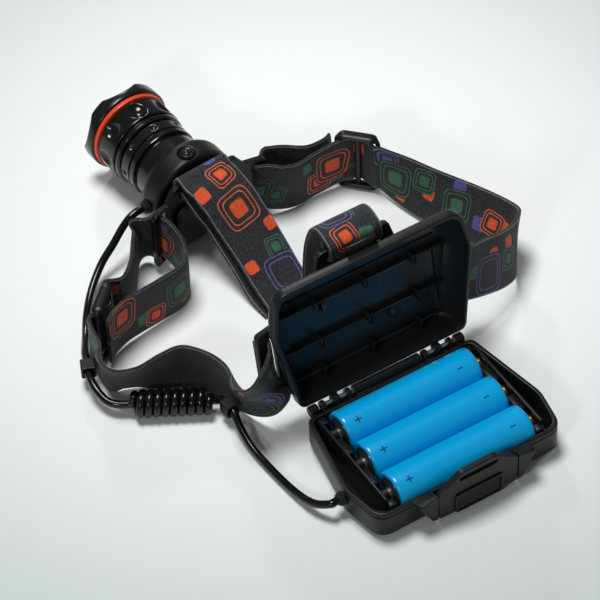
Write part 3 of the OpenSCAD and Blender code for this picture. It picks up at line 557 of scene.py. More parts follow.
def print_layer(finish, across, along, pitch, offset, half, spread, seed, core, rings, hollow=False):
    """One row of squares: where its ink is, its colour and the ground that it covers."""
    row = along / pitch + offset
    cell = row.whole()
    chance = finish.node("TexWhiteNoise", {"noise_dimensions": "1D"}, {"W": cell + seed}, out="Color")
    first = finish.node("SeparateColor", {}, [chance], out=0)
    second = finish.node("SeparateColor", {}, [chance], out=1)
    third = finish.node("SeparateColor", {}, [chance], out=2)
    y = (row - cell - 0.5) * pitch + (third - 0.5) * pitch * shift_share
    x = across - (first - 0.5) * 2 * spread
    lean = (second - 0.5) * lean_share
    flat, tall = abs(x + lean * y), abs(y - lean * x)
    size = half * (least_size + third * size_range)
    reach = (flat ** squareness + tall ** squareness) ** (1 / squareness) / size
    ink = ((core - reach) * core_edge).clamped() * (third > coreless_share)
    if hollow:
        ink = ink * (1 - (second > print_shades[1][0]) * (second < print_shades[2][0]))
    line = print_line / half
    for place in rings:
        ink = ink.larger(((line - abs(reach - place)) * (1.6 / line)).clamped())
    solid = finish.node("ValToRGB", {"stops": print_shades}, [second])
    outline = finish.node("ValToRGB", {"stops": ring_shades}, [second])
    ground = ((ground_reach - reach) * ground_edge).clamped()
    return ink, finish.mix((reach < core + 0.06), outline, solid), ground


# %% Knitted webbing
thread_w, thread_l, rib_pitch, column_pitch, knit_depth = 0.45, 0.6, 0.85, 1.1, 0.00016
pale_line, pale_half, print_reach = 11.9, 0.25, 12.3


def knitted_webbing():
    """Threads in greys, a pale line at each selvedge and three rows of printed squares."""
    finish = Finish("webbing", {"Sheen Weight": 0.12, "Sheen Roughness": 0.5, "IOR": 1.4})
    uv = finish.node("UVMap", {"uv_map": "weave"})
    across = finish.node("SeparateXYZ", {}, [uv], out="X")
    along = finish.node("SeparateXYZ", {}, [uv], out="Y")
    thread = finish.node("CombineXYZ", {}, [(across / thread_w).whole(), (along / thread_l).whole(), 0])
    tone = finish.node("TexWhiteNoise", {"noise_dimensions": "2D"}, {"Vector": thread})
    cloud = finish.noise(260, 3)
    shade_share = (tone * tone * 0.8 + cloud * 0.2).clamped()
    yarn = finish.mix(shade_share, colour(15, 16, 18), colour(62, 63, 67))
    edge = abs(across)
    pale = ((pale_half - abs(edge - pale_line)) * 9).clamped() * (0.5 + tone * 0.4)
    base = finish.mix(pale, yarn, colour(138, 140, 145))
    layers = [
        print_layer(finish, across, along, 12.5, 0.2, 3.1, 10, 61.5, 0.95, []),
        print_layer(finish, across, along, 18, 0.55, 4.7, 9, 23.5, 0.5, [0.75, 1]),
        print_layer(finish, across, along, 33, 0.3, 7.3, 5.5, 7.5, 0.48, [0.74, 0.97], True),
    ]
    ink, shade, ground = layers[0]
    for upper_ink, upper_shade, upper_ground in layers[1:]:
        ink = ink * (1 - upper_ground) + upper_ink * upper_ground
        shade = finish.mix(upper_ground, shade, upper_shade)
    printed = (along > 0) * (edge < print_reach)
    base = finish.mix((ink * printed * (0.6 + tone * 0.4)).clamped(), base, shade)
    finish.wear(Base_Color=base, Roughness=0.8 + (tone - 0.5) * 0.2)
    ribs = (along * (2 * math.pi / rib_pitch)).wave() * (across * (2 * math.pi / column_pitch)).wave()
    return finish.bump(ribs + tone * 0.5, 0.5, knit_depth)


webbing = knitted_webbing()
print("webbing nodes:", len(webbing.tree.nodes))

# %% [markdown]
# ## The straps
# A strap is a flat band that follows a list of stations: a point on its middle and the direction of
# its width. The stations follow the CAD part's, so the webbing passes through the same slots and
# sliders. Each ring has rounded selvedges, and the band's own length and width go into a UV map in
# millimetres, which is what the print and the weave are drawn on. Flat straps need no simulation.

# %% Where the straps go
strap_t = 1.5
web_z = 12.7
up, across_x = Vector((0, 0, 1)), Vector((1, 0, 0))
hinge_y, hinge_z, lid_open = 32.05, 15, math.radians(100)


def lid_at(p):
    """A point of the shut lid, turned with it to where it stands open."""
    x, y, z = p
    dy, dz = y - hinge_y, z - hinge_z
    c, s = math.cos(lid_open), math.sin(lid_open)
    return Vector((x, hinge_y + dy * c + dz * s, hinge_z - dy * s + dz * c))


lid_up = Vector((0, -math.cos(lid_open), math.sin(lid_open)))
side_slot_x, top_slot_y, ear_y, ear_middle = 43.55, -25.15, 11.55, 28.5
wrap = 2.75
plate_y, plate_r, plate_t, plate_slot_x, plate_slot_z = -3.9, 90, 2.6, 24.1, 17.7
plate_wrap = 2.75
crown_middle, crown_top = 33.2, 38
head_across = Vector((math.cos(head_turn), math.sin(head_turn), 0))


def lid_side(s, out, back):
    return lid_at((s * (side_slot_x + out), ear_y, ear_middle + back))


def lid_crown(out, back):
    return lid_at((0, top_slot_y - out, ear_middle + back))


def plate_side(s, out, forward):
    x = plate_slot_x + out
    y = plate_y - plate_r + math.sqrt((plate_r - plate_t / 2) ** 2 - x ** 2) + forward
    return head_at((s * x, y, plate_slot_z))


def plate_crown(forward, z):
    return head_at((0, plate_y - plate_t / 2 + forward, z))


def near_head(right, forward, z):
    return Vector((head_x + right, head_y + forward, z))


# %% Ways through the sliders
slider_w, slider_mid, slider_end, slider_cross, slider_lift = 20.2, 2.6, 2.2, 4.6, 2.4
slider_ease = 0.4
right_slider_at, right_slider_turn = near_head(70, -17.5, web_z + 3), math.radians(-46)
left_slider_at, left_slider_turn = near_head(-67, -38, web_z + 3), math.radians(223)


def beside(at, turn, along, out):
    x = along * math.cos(turn) - out * math.sin(turn)
    y = along * math.sin(turn) + out * math.cos(turn)
    return at + Vector((x, y, 0))


def slider_weave(at, turn, side):
    """Over one end bar, under the middle bar and over the other end bar."""
    half, bar = slider_w / 2, slider_mid / 2 - slider_ease
    steps = [(half + 1, 1), (half - slider_end + slider_ease, 1), (slider_cross, 0), (bar, -1)]
    steps += [(-along, out) for along, out in reversed(steps)]
    return [(beside(at, turn, along, side * out * slider_lift), up) for along, out in steps]


# %% Stations of the three straps
right_stations = [
    *[(lid_side(1, out, back), lid_up) for out, back in
      ((10, wrap), (4, wrap), (0.8, wrap - 0.6), (0, 0), (0.8, 0.6 - wrap), (5, -wrap - 0.2))],
    ((60, 49, 28), (0, 0.3, 1)), ((72, 53, 22), (0.25, 0.45, 1)), ((81, 58.5, 17.5), (0.36, 0.5, 0.9)),
    ((86, 66, 15), (0.4, 0.5, 0.85)), ((85.5, 74, 14.2), (0.42, 0.4, 0.87)),
    ((80, 89, 13.5), (0.42, 0.3, 0.9)), ((72, 107, 13), (0.35, 0.2, 0.95)),
    ((66.6, 120, 14.2), (0.2, 0.1, 1)),
    *slider_weave(right_slider_at, right_slider_turn, -1)[:-1],
    (near_head(51, -12.4, web_z + 1), up),
    (near_head(41.5, -13.2, web_z + 0.8), up), (near_head(33.5, -12, web_z + 2.8), up),
    *[(plate_side(1, out, forward), up) for out, forward in
      ((3, -plate_wrap), (0.6, 0.6 - plate_wrap), (0, 0), (0.7, plate_wrap - 0.2), (3.5, plate_wrap + 0.2))],
    (near_head(34, -0.3, web_z + 3), up), (near_head(42, -1, web_z + 1.5), up),
    (near_head(51, -6.5, web_z + 1), up), (near_head(59, -7.5, web_z + 1.5), up),
    (near_head(64, -6, web_z + 2), up),
]
left_stations = [
    *[(lid_side(-1, out, back), lid_up) for out, back in
      ((5, wrap), (3, wrap), (0.8, wrap - 0.6), (0, 0), (0.6, 0.4 - wrap))],
    ((-46.6, 43.9, 31.5), (0, 0.1, 1)), ((-50.3, 42.3, 27.3), (-0.2, -0.1, 1)),
    ((-52.6, 45.2, 21.5), (-0.4, -0.15, 1)), ((-53.8, 51.5, 16.2), (-0.32, -0.05, 1)),
    ((-54.8, 60, 13.4), (-0.1, 0, 1)), ((-56.6, 69, web_z), up), ((-60, 77, web_z), up),
    ((-66, 83.5, web_z), up), ((-75, 86, web_z), (-0.1, -0.14, 1)),
    ((-84, 88.5, web_z), (-0.24, -0.34, 0.9)), ((-91, 91.5, web_z), (-0.3, -0.3, 0.9)),
    ((-94, 97, web_z), (-0.2, -0.1, 1)), ((-92.5, 104, web_z + 1), up),
    *slider_weave(left_slider_at, left_slider_turn, -1),
    (near_head(-53, -29.5, web_z + 2), up), (near_head(-45, -22.5, web_z + 1), up),
    (near_head(-38, -12.5, web_z + 1.5), up), (near_head(-32.5, -6.5, web_z + 3), up),
    *[(plate_side(-1, out, forward), up) for out, forward in
      ((4, plate_wrap + 0.6), (0.9, plate_wrap), (0, 0), (-0.1, -2.2))],
    (near_head(-22, -17, web_z + 4.5), up), (near_head(-21.6, -24.5, web_z + 1), up),
    (near_head(-23.5, -31.5, web_z + 0.6), up), (near_head(-30, -36.5, web_z + 0.6), up),
    (near_head(-41, -38.5, web_z + 1), up), (near_head(-51, -40, web_z + 1.6), up),
    (near_head(-59, -41.5, web_z + 2), up), (near_head(-66, -44.5, web_z + 2.4), up),
    (near_head(-71, -48.5, web_z + 2.6), up),
]
top_stations = [
    (near_head(8, -60, 1.1), across_x), (near_head(7, -50.5, 3.4), across_x),
    (near_head(6.2, -39.5, 11), across_x),
    (near_head(4.8, -29.5, 18.6), across_x), (near_head(3.4, -19.5, 25), head_across),
    *[(plate_crown(forward, z), head_across) for forward, z in
      ((-8.5, crown_middle - 2.6), (-3.4, crown_middle - 0.3), (0, crown_middle),
       (plate_wrap - 0.4, crown_middle + 0.4), (plate_wrap, crown_top - 1.4), (0, crown_top + 2.1),
       (-5, crown_top + 0.6))],
    (near_head(2, -14, 37.3), (1, 0.05, -0.05)), (near_head(4, -21, 32.4), (1, 0, -0.1)),
    (near_head(5.8, -27.5, 25.6), (1, 0, -0.1)), (near_head(8, -38, 16), (1, 0, -0.15)),
    (near_head(9, -51.5, 7.2), (1, 0, -0.15)),
    ((-4, 93, 3.5), (1, 0, -0.05)), ((-3, 82, 6), across_x), ((-2, 75.5, 18), across_x),
    ((-1, 73.5, 38), across_x), ((0, 72.5, 60), across_x), ((0, 69, 72), across_x),
    ((0, 65.5, 77.5), across_x), ((0, 60.5, 79), across_x),
    *[(lid_crown(out, back), across_x) for out, back in
      ((7.6, 0.4 - wrap), (4, -wrap), (0.8, 0.6 - wrap), (0, 0), (0.8, wrap - 0.6), (4, wrap),
       (7, wrap + 0.3))],
]
print("stations of the straps:", len(right_stations), len(left_stations), len(top_stations))

# %% Bands of webbing
strap_columns = [-12.5, -12.2, -11.4, -9, -6, -3, 0, 3, 6, 9, 11.4, 12.2, 12.5]
selvedge = {12.5: 0.35, 12.2: 0.8}


def band_ring(place, ahead, width_way):
    """One closed ring around the strap: its printed face first, then its plain face."""
    wide = (width_way - ahead * width_way.dot(ahead)).normalized()
    out = ahead.cross(wide)
    ring = []
    for face in (1, -1):
        for column in strap_columns[::face]:
            height = strap_t / 2 * selvedge.get(abs(column), 1)
            ring.append(place + wide * column + out * height * face)
    return ring


strap_steps = 8
face_lead, back_lead = 5, 400


def make_strap(name, node, stations, plain):
    """A strap through its stations; plain lists stretches without print as (face, from, to) stations."""
    path = smooth([s[0] for s in stations], strap_steps)
    leans = smooth([s[1] for s in stations], strap_steps)
    rings = []
    for i, p in enumerate(path):
        ahead = Vector(path[min(i + 1, len(path) - 1)] - path[max(i - 1, 0)]).normalized()
        rings.append(band_ring(Vector(p), ahead, Vector(leans[i])))
    strap = make_piece(name, skin(rings), webbing, sharp=70)
    draw_weave(strap, path, plain)
    long = length_of(path)
    print(name, "is", round(long), "mm long")
    return settle(strap, "harness", "webbing", node)


def draw_weave(strap, path, plain):
    """Writes width and length of the band into its UV map; a plain stretch gets a negative length."""
    steps = [(Vector(b) - Vector(a)).length for a, b in zip(path, path[1:])]
    along = [face_lead + sum(steps[:i]) for i in range(len(path))]
    count = 2 * len(strap_columns)
    layer = strap.data.uv_layers.new(name="weave")
    for polygon in strap.data.polygons:
        corners = [strap.data.loops[i].vertex_index for i in polygon.loop_indices]
        face = 0 if sum(c % count < count / 2 for c in corners) >= len(corners) / 2 else 1
        first = min(corners) // count / strap_steps
        hidden = any(face == side and start <= first < end for side, start, end in plain)
        for loop, corner in zip(polygon.loop_indices, corners):
            column = corner % count
            place = strap_columns[column] if column < count / 2 else strap_columns[count - 1 - column]
            long = along[corner // count] + face * back_lead
            layer.data[loop].uv = (place, -long if hidden else long)


make_strap("right_webbing", "right_strap", right_stations, [])
make_strap("left_webbing", "left_strap", left_stations, [(1, 9, 17), (0, 26, 32)])
make_strap("top_webbing", "top_strap", top_stations, [(1, 0, 60)])

# %% [markdown]
# ## The battery box's shells
# Tray and lid are injection moulded shells with even walls, rounded edges and a fine step where the
# two halves meet. A skin over outlines at rising heights gives those roundings exactly where they are
# wanted: down the outside, over the rim and up the inside again, as one closed surface. A bevel on a
# plain box would round every edge alike. The bulge in front of the tray is a skin of the same kind, with
# its outlines stood upright.

# %% Outlines
def rounded(points, radii, steps=6):
    """A closed outline with an arc at each corner."""
    outline = []
    for i, at in enumerate(points):
        at = Vector(at)
        u = (Vector(points[i - 1]) - at).normalized()
        v = (Vector(points[(i + 1) % len(points)]) - at).normalized()
        half = math.acos(max(-1, min(1, u.dot(v)))) / 2
        middle = at + (u + v).normalized() * radii[i] / math.sin(half)
        start = at + u * radii[i] / math.tan(half) - middle
        end = at + v * radii[i] / math.tan(half) - middle
        first = math.atan2(start.y, start.x)
        turn = (math.atan2(end.y, end.x) - first + math.pi) % (2 * math.pi) - math.pi
        for k in range(steps + 1):
            a = first + turn * k / steps
            outline.append(middle + radii[i] * Vector((math.cos(a), math.sin(a))))
    return outline


box_half, hinge_half, wide_half, front_half, wide_y = 29.45, 39.75, 46.75, 43.25, -10
box_corners = [3.3, 3.3, 16, 6.3, 6.3, 16]


def box_ring(side, front, back, z):
    """The box in plan at one height, drawn in at its sides, its free edge and its hinge edge."""
    points = [
        (hinge_half - side, box_half - back), (-(hinge_half - side), box_half - back),
        (-(wide_half - side), wide_y), (-(front_half - side), -(box_half - front)),
        (front_half - side, -(box_half - front)), (wide_half - side, wide_y),
    ]
    return [Vector((p.x, p.y, z)) for p in rounded(points, box_corners)]


# %% Blocks with rounded edges
def block(low, high, edge=0.3):
    """A box with chamfered edges, as a skin over four rings."""
    (x0, y0, z0), (x1, y1, z1) = low, high
    rings = []
    for z, inset in ((z0, edge), (z0 + edge, 0), (z1 - edge, 0), (z1, edge)):
        right, left, back, front = x1 - inset, x0 + inset, y1 - inset, y0 + inset
        corners = [(right, back), (left, back), (left, front), (right, front)]
        rings.append([Vector((p.x, p.y, z)) for p in rounded(corners, [edge] * 4, 2)])
    return skin(rings)


def bar_x(x, y, z, radius, length, sides=24, edge=0.2):
    """A round bar along X with rounded ends."""
    rings = []
    for place, r in ((-0.5, radius - edge), (-0.5, radius), (0.5, radius), (0.5, radius - edge)):
        end = place * length + (edge if place < 0 else -edge) * (r == radius)
        rings.append([Vector((x + end, y + r * math.cos(a), z + r * math.sin(a))) for a in even_turns(sides)])
    return skin(rings)


# %% Tray
tray_h, floor_t = 15, 2
hinge_x, hinge_pin_l, knuckle_r = 24.5, 14, 2.3
tray_profile = [
    (3.8, 0), (2.6, 0.12), (1.5, 0.6), (0.7, 1.4), (0.2, 2.5), (0, 3.8), (0, 12.3), (0.3, 12.5),
    (0.3, 12.9), (0, 13.1), (0, 14.4), (0.12, 14.8), (0.4, 15), (0.62, 15), (0.7, 14.7), (1.02, 14.7),
    (1.1, 15), (1.3, 15), (1.6, 14.85), (1.7, 14.5), (1.8, 3.4), (2.1, 2.4), (3, 2),
]
tray_shell = skin([box_ring(inset, inset, inset, z) for inset, z in tray_profile])
pitch = 18.45
cell_l = 65.3
ridges = [
    skin([[Vector((x, s * pitch / 2 + y, z)) for y, z in ((-3, 1.9), (3, 1.9), (1, 5), (-1, 5))]
          for x in (-cell_l / 2 + 2, cell_l / 2 - 2)])
    for s in (-1, 1)
]
knuckle_l, web_root, web_drop = 2, 1, 0.3


def tray_knuckle(x, long, edge):
    """A round knuckle on the hinge's line, and the web that ties it to the tray's wall."""
    web = block((x - long / 2, box_half - web_root, hinge_z - knuckle_r),
                (x + long / 2, hinge_y, hinge_z - web_drop))
    return [bar_x(x, hinge_y, hinge_z, knuckle_r, long, 24, edge), web]


tray_knuckles = []
for s in (-1, 1):
    for e in (-1, 1):
        tray_knuckles += tray_knuckle(s * hinge_x + e * (hinge_pin_l - knuckle_l) / 2, knuckle_l, 0.2)
rest_gap, rest_l, leaf_l = 1.5, 4, 19
rest_end = hinge_x + hinge_pin_l / 2 + rest_gap + rest_l / 2
for x, long in ((0, 2 * (hinge_x - hinge_pin_l / 2 - rest_gap)), (rest_end, rest_l), (-rest_end, rest_l)):
    tray_knuckles += tray_knuckle(x, long, 0.4)
leaf_low, leaf_high, leaf_out = 10.5, 12.1, 1.4
for x in (-hinge_x, hinge_x):
    tray_knuckles.append(block((x - leaf_l / 2, box_half - web_root, leaf_low),
                               (x + leaf_l / 2, hinge_y + leaf_out, leaf_high)))
tray = make_piece("tray", together(tray_shell, *ridges, *tray_knuckles), box_plastic)
settle(tray, "tray", "box_plastic", "battery_tray")

# %% Bulge that holds the latch
latch_front, latch_back = -34.45, -31.85
latch_low, latch_pin_z, latch_ear_x = 2, 14, 19.1
bulge_shoulder, bulge_foot, bulge_low = latch_ear_x + 9.4, latch_ear_x + 3, latch_low + 1
bulge_rows = [(-28.6, 0, tray_h, tray_h), (-32.2, 0.9, 15.5, 16.9), (-33.5, 1.2, 15.6, 17.2),
              (-34.2, 1.4, 15.7, 17.2), (latch_front, 1.8, 15.5, 16.9)]
bulges = []
for s in (-1, 1):
    rings = []
    for y, draw, top, peak in bulge_rows:
        side = rounded(
            [(latch_ear_x, bulge_low + draw / 3), (bulge_foot - draw / 2, bulge_low + draw / 3),
             (bulge_shoulder - draw, top - 1.6), (bulge_shoulder - draw, top), (latch_ear_x, peak)],
            [0.2, 1.2, 0.7, 0.5, 0.2], 4)
        rings.append([Vector((s * p.x, y, p.y)) for p in side])
    bulges.append(skin(rings))
settle(make_piece("latch_bulge", together(*bulges), box_plastic, 30), "tray", "box_plastic")

# %% [markdown]
# ## The lid
# The lid stands open behind the tray. Its hollow is a little paler and smoother than the outside, and
# it shows two long ribs and a third near the hinge, with short cross tabs that keep the cells down. So
# the lid is two skins, one for each finish. Three slotted ears carry the webbing. The ears are skins
# that run round a slot, so each has a hole with rounded edges and no boolean is needed.

# %% Lid shell
lid_z, lid_top = 15.4, 30
lid_outside = [
    (7.4, 11.9, 4.4, 30), (6.2, 10.7, 3.2, 30), (5.3, 9.7, 2.3, 29.7), (4.7, 8.9, 1.95, 29),
    (0.5, 0.9, 0.2, 21.3), (0.1, 0.2, 0.05, 20.4), (0, 0, 0, 19.4), (0, 0, 0, 16),
    (0.12, 0.12, 0.12, 15.6), (0.45, 0.45, 0.45, 15.4),
]
lid_inside = [
    (1.25, 1.25, 1.25, 15.4), (1.6, 1.6, 1.6, 15.6), (1.7, 1.7, 1.7, 16), (1.75, 1.75, 1.75, 20.4),
    (5.9, 9.9, 3.4, 27), (6.6, 11, 3.8, 27.9), (7.8, 12.2, 5, 28.3),
]
lid_outer = moved(skin([box_ring(*row) for row in lid_outside + lid_inside[:3]], caps=False), lid_at)
lid_inner = moved(skin([box_ring(*row) for row in lid_inside[2:]], caps=False), lid_at)
count = len(box_ring(0, 0, 0, 0))
lid_outer[1].append(tuple(range(count)))
lid_inner[1].append(tuple(range(len(lid_inner[0]) - count, len(lid_inner[0]))))
lid = make_piece("lid", lid_outer, box_plastic)
settle(lid, "harness", "box_plastic", "strap_lid")
settle(make_piece("lid_hollow", lid_inner, lid_lining), "harness", "box_plastic")


# %% Ribs and cross tabs inside the lid
rib_rows, tab_columns = [23.95, pitch / 2, -pitch / 2], [-22, 1, 24]
rib_low, rib_high, rib_t, rib_inset = 25.2, 28.6, 1.2, 4.4
tab_half, tab_drop, stop_half, stop_l, stop_drop, stop_off = 2.6, 2.4, 1.1, 5.4, 0.6, 0.6


def half_width(y):
    """Half the box's width at a place along Y."""
    share = (box_half - y) / (box_half - wide_y)
    return hinge_half + (wide_half - hinge_half) * share


ribs = []
for y in rib_rows:
    reach = half_width(y) - rib_inset
    ribs.append(block((-reach, y - rib_t / 2, rib_low), (reach, y + rib_t / 2, rib_high), 0.25))
    for x in tab_columns:
        ribs.append(block((x - rib_t / 2, y - tab_half, rib_low - tab_drop),
                          (x + rib_t / 2, y + tab_half, rib_high), 0.5))
for x, y in ((-18, -pitch / 2 + stop_off), (12, pitch / 2 + stop_off)):
    ribs.append(block((x - stop_half, y, rib_low - stop_drop), (x + stop_half, y + stop_l, rib_high), 0.4))
settle(make_piece("lid_ribs", moved(together(*ribs), lid_at), lid_lining), "harness", "box_plastic")
print("cross tabs:", len(rib_rows) * len(tab_columns))


# %% Slotted ears
def drawn_in(outline, amount):
    """A roundish outline moved towards its middle."""
    middle = sum(outline, Vector((0, 0))) / len(outline)
    return [p + (middle - p).normalized() * amount for p in outline]


def slotted(outer, slot, low, high, edge=0.5):
    """A flat bar round a slot, with rounded edges, as a closed tube of rings."""
    step = math.copysign(edge, high - low)
    rows = [(outer, edge, low), (outer, 0, low + step), (outer, 0, high - step), (outer, edge, high),
            (slot, -edge, high), (slot, 0, high - step), (slot, 0, low + step), (slot, -edge, low)]
    return skin([[Vector((p.x, p.y, z)) for p in drawn_in(o, inset)] for o, inset, z in rows], wrap=True)


ear_l, ear_flare, ear_t, slot_w, slot_l, bar_w = 33.2, 3, 3, 4.4, 26.2, 3.2


def slot_ear(root, slot_x):
    """An ear that reaches out along +X from the lid's back."""
    tip = slot_x + slot_w / 2 + bar_w
    narrow, broad = ear_l / 2, ear_l / 2 + ear_flare
    outer = rounded([(tip, narrow), (root, broad), (root, -broad), (tip, -narrow)], [2.2, 0.5, 0.5, 2.2])
    x0, x1, y = slot_x - slot_w / 2, slot_x + slot_w / 2, slot_l / 2
    slot = rounded([(x1, y), (x0, y), (x0, -y), (x1, -y)], [1, 1, 1, 1])
    return slotted(outer, slot, lid_top - ear_t, lid_top)


side_ear, top_ear = slot_ear(hinge_half - 5, side_slot_x), slot_ear(box_half - 10.5, -top_slot_y)
ears = [
    moved(side_ear, lambda p: lid_at((p.x, p.y + ear_y, p.z))),
    moved(side_ear, lambda p: lid_at((-p.x, p.y + ear_y, p.z))),
    moved(top_ear, lambda p: lid_at((p.y, -p.x, p.z))),
]
catch_low, catch_high = (-7, -32.95, 20.2), (7, -28.6, 21.8)
lid_knuckle_l = 3.2
catch = block(catch_low, catch_high, 0.4)
lid_knuckles = []
for s in (-1, 1):
    x = s * hinge_x
    lid_knuckles.append(bar_x(x, hinge_y, hinge_z, knuckle_r, lid_knuckle_l))
    lid_knuckles.append(block((x - lid_knuckle_l / 2, box_half - web_root, lid_z),
                              (x + lid_knuckle_l / 2, hinge_y, hinge_z + knuckle_r)))
fittings = together(*ears, moved(together(catch, *lid_knuckles), lid_at))
settle(make_piece("lid_fittings", fittings, box_plastic), "harness", "box_plastic")

# %% [markdown]
# ## The latch
# A wide rocker closes the box: its crest hooks over a catch on the lid, and its foot has a pebbled pad
# for the thumb. The rocker is the same kind of skin round a slot as the ears, stood upright. Outline and
# slot are stepped from corner to corner in equal counts, so that no face reaches across the slot. The
# pad's pebbles are real bumps in a fine grid, so they catch the light from every side, which a bump map
# does less well so close to the camera.

# %% Rocker
latch_top, latch_w, crest_w, latch_foot = 24.5, 37.7, 16, 2.9


def paced(outline, corners, counts):
    """An outline again, with a count of even steps from each of the given corners to the next."""
    marks = [min(range(len(outline)), key=lambda i: (outline[i] - Vector(c)).length) for c in corners]
    points = []
    for mark, after, count in zip(marks, marks[1:] + marks[:1], counts):
        stretch = outline[mark:after + 1] if after > mark else outline[mark:] + outline[:after + 1]
        along = np.concatenate([[0], np.cumsum([(b - a).length for a, b in zip(stretch, stretch[1:])])])
        for t in np.linspace(0, along[-1], count, endpoint=False):
            points.append(Vector([np.interp(t, along, [p[axis] for p in stretch]) for axis in (0, 1)]))
    return points


half_crest, half_latch, shoulder_z = crest_w / 2, latch_w / 2, latch_pin_z + 2.9
crest_and_shoulders = [(half_crest, latch_top), (-half_crest, latch_top), (-half_latch, shoulder_z),
                       (half_latch, shoulder_z)]
rocker = rounded(
    crest_and_shoulders[:3] + [(-half_latch + 0.4, latch_foot), (half_latch - 0.4, latch_foot)]
    + crest_and_shoulders[3:], [2.4, 2.4, 2.4, 0.6, 0.6, 2.4])
window_half, window_top, window_low = 9, 22.1, 19.9
window_corners = [(window_half, window_top), (-window_half, window_top), (-window_half, window_low),
                  (window_half, window_low)]
window = rounded(window_corners, [0.8] * 4)
counts = [20, 20, 76, 20]
rocker_part = slotted(paced(rocker, crest_and_shoulders, counts), paced(window, window_corners, counts),
                      latch_back, latch_front, 0.3)
rocker_part = moved(rocker_part, lambda p: (p.x, p.z, p.y))
settle(make_piece("latch_rocker", rocker_part, box_plastic), "latch_rocker", "box_plastic", "latch")

# %% Thumb pad
pad_w, pad_h, pad_low = 20, 8, 3.6
pad_columns, pad_rows = 80, 32
pebble, pebble_base, pebble_rise, pebble_rim = 1.25, 0.3, 0.5, 0.8


def pebble_height(x, z):
    """How far the pad stands out: rows of round pebbles that fade at the pad's rim."""
    shift = 0.5 * (math.floor(z / pebble) % 2)
    bump = abs(math.sin(math.pi * (x / pebble + shift)) * math.sin(math.pi * z / pebble))
    rim = min(x, pad_w - x, z, pad_h - z)
    return pebble_base + pebble_rise * bump ** 0.7 * min(1, rim / pebble_rim)


def grid_faces(columns, rows, start=0):
    """Faces over a grid of points that lie row by row in a list."""
    corners = [start + j * (columns + 1) + i for j in range(rows) for i in range(columns)]
    return [(a, a + 1, a + columns + 2, a + columns + 1) for a in corners]


frame_outer = rounded([(11.4, 12.9), (-11.4, 12.9), (-11.4, 2.5), (11.4, 2.5)], [1.6, 1.6, 1.6, 1.6])
frame_inner = rounded([(10.2, 11.8), (-10.2, 11.8), (-10.2, 3.4), (10.2, 3.4)], [0.9, 0.9, 0.9, 0.9])
pad_frame = slotted(frame_outer, frame_inner, latch_front + 0.4, latch_front - 0.8, 0.3)
pad_frame = moved(pad_frame, lambda p: (p.x, p.z, p.y))
settle(make_piece("pad_frame", pad_frame, box_plastic), "latch_rocker", "box_plastic")
pad_points = []
for j in range(pad_rows + 1):
    for i in range(pad_columns + 1):
        x, z = pad_w * i / pad_columns, pad_h * j / pad_rows
        edge = i in (0, pad_columns) or j in (0, pad_rows)
        out = 0 if edge else pebble_height(x, z)
        pad_points.append((x - pad_w / 2, latch_front - out, pad_low + z))
pad_part = (pad_points, grid_faces(pad_columns, pad_rows))
settle(make_piece("thumb_pad", pad_part, grip_rubber, 80), "latch_rocker", "grip_plastic", "latch_grip")

# %% [markdown]
# ## The cells
# Three round lithium cells wear a glossy azure shrink sleeve, which curls over both ends. The sleeve
# is a turned profile. Only the plus and minus signs are printed on it: a plus is two crossed bars of
# the sleeve's own coordinates, which lie in its UV map in millimetres. A picture of the two signs would
# need a file beside the script, and the sum does not.

# %% Sleeve finish
cell_r, cell_z = 9.15, 11.3
plus_x, minus_x, sign_turn = -24.6, 24.4, math.radians(24)
plus_half, plus_thin, minus_half, minus_thin = 1.5, 0.3, 1.3, 0.28
end_start, end_fade = 29.5, 3


def shrink_sleeve():
    """Azure film with clouds, darker ends, fine wrinkles and the two printed signs."""
    finish = Finish("cell_sleeve", {"IOR": 1.5, "Specular IOR Level": 0.35, "Coat Roughness": 0.08})
    uv = finish.node("UVMap", {"uv_map": "sleeve"})
    along = finish.node("SeparateXYZ", {}, [uv], out="X")
    around = finish.node("SeparateXYZ", {}, [uv], out="Y")
    off = around - sign_turn * cell_r
    bar = abs(along - plus_x)
    level = (bar < plus_half) * (abs(off) < plus_thin)
    cross = level.larger((bar < plus_thin) * (abs(off) < plus_half))
    dash = (abs(along - minus_x) < minus_half) * (abs(off) < minus_thin)
    clouds = finish.noise(35, 3)
    base = finish.mix((clouds - 0.3).clamped() * 0.5, colour(0, 160, 222), colour(6, 172, 230))
    ends = ((abs(along) - end_start) / end_fade).clamped() * 0.35
    base = finish.mix(ends, base, colour(0, 120, 190))
    finish.wear(Base_Color=finish.mix(cross.larger(dash) * 0.85, base, colour(16, 30, 48)))
    finish.wear(Roughness=0.24 + (clouds - 0.5) * 0.12, Coat_Weight=0.25 + (clouds - 0.5) * 0.2)
    wrinkles = finish.node("CombineXYZ", {}, [along * 0.35, around * 0.12, 0])
    return finish.bump(finish.noise(1, 3, wrinkles), 0.12, 0.0004)


cell_sleeve = shrink_sleeve()
card_ring = moulded("card_ring", colour(52, 56, 60), 0.8, grain=0.4, dust=0)


# %% Turned cells
def turned_x(profile, y, z, sides=64):
    """A profile of (x, radius) turned about a line along X; its seam is underneath."""
    rings = []
    for x, r in profile:
        turns = [math.pi + 2 * math.pi * j / sides for j in range(sides)]
        rings.append([Vector((x, y - r * math.sin(a), z + r * math.cos(a))) for a in turns])
    return skin(rings, caps=False)


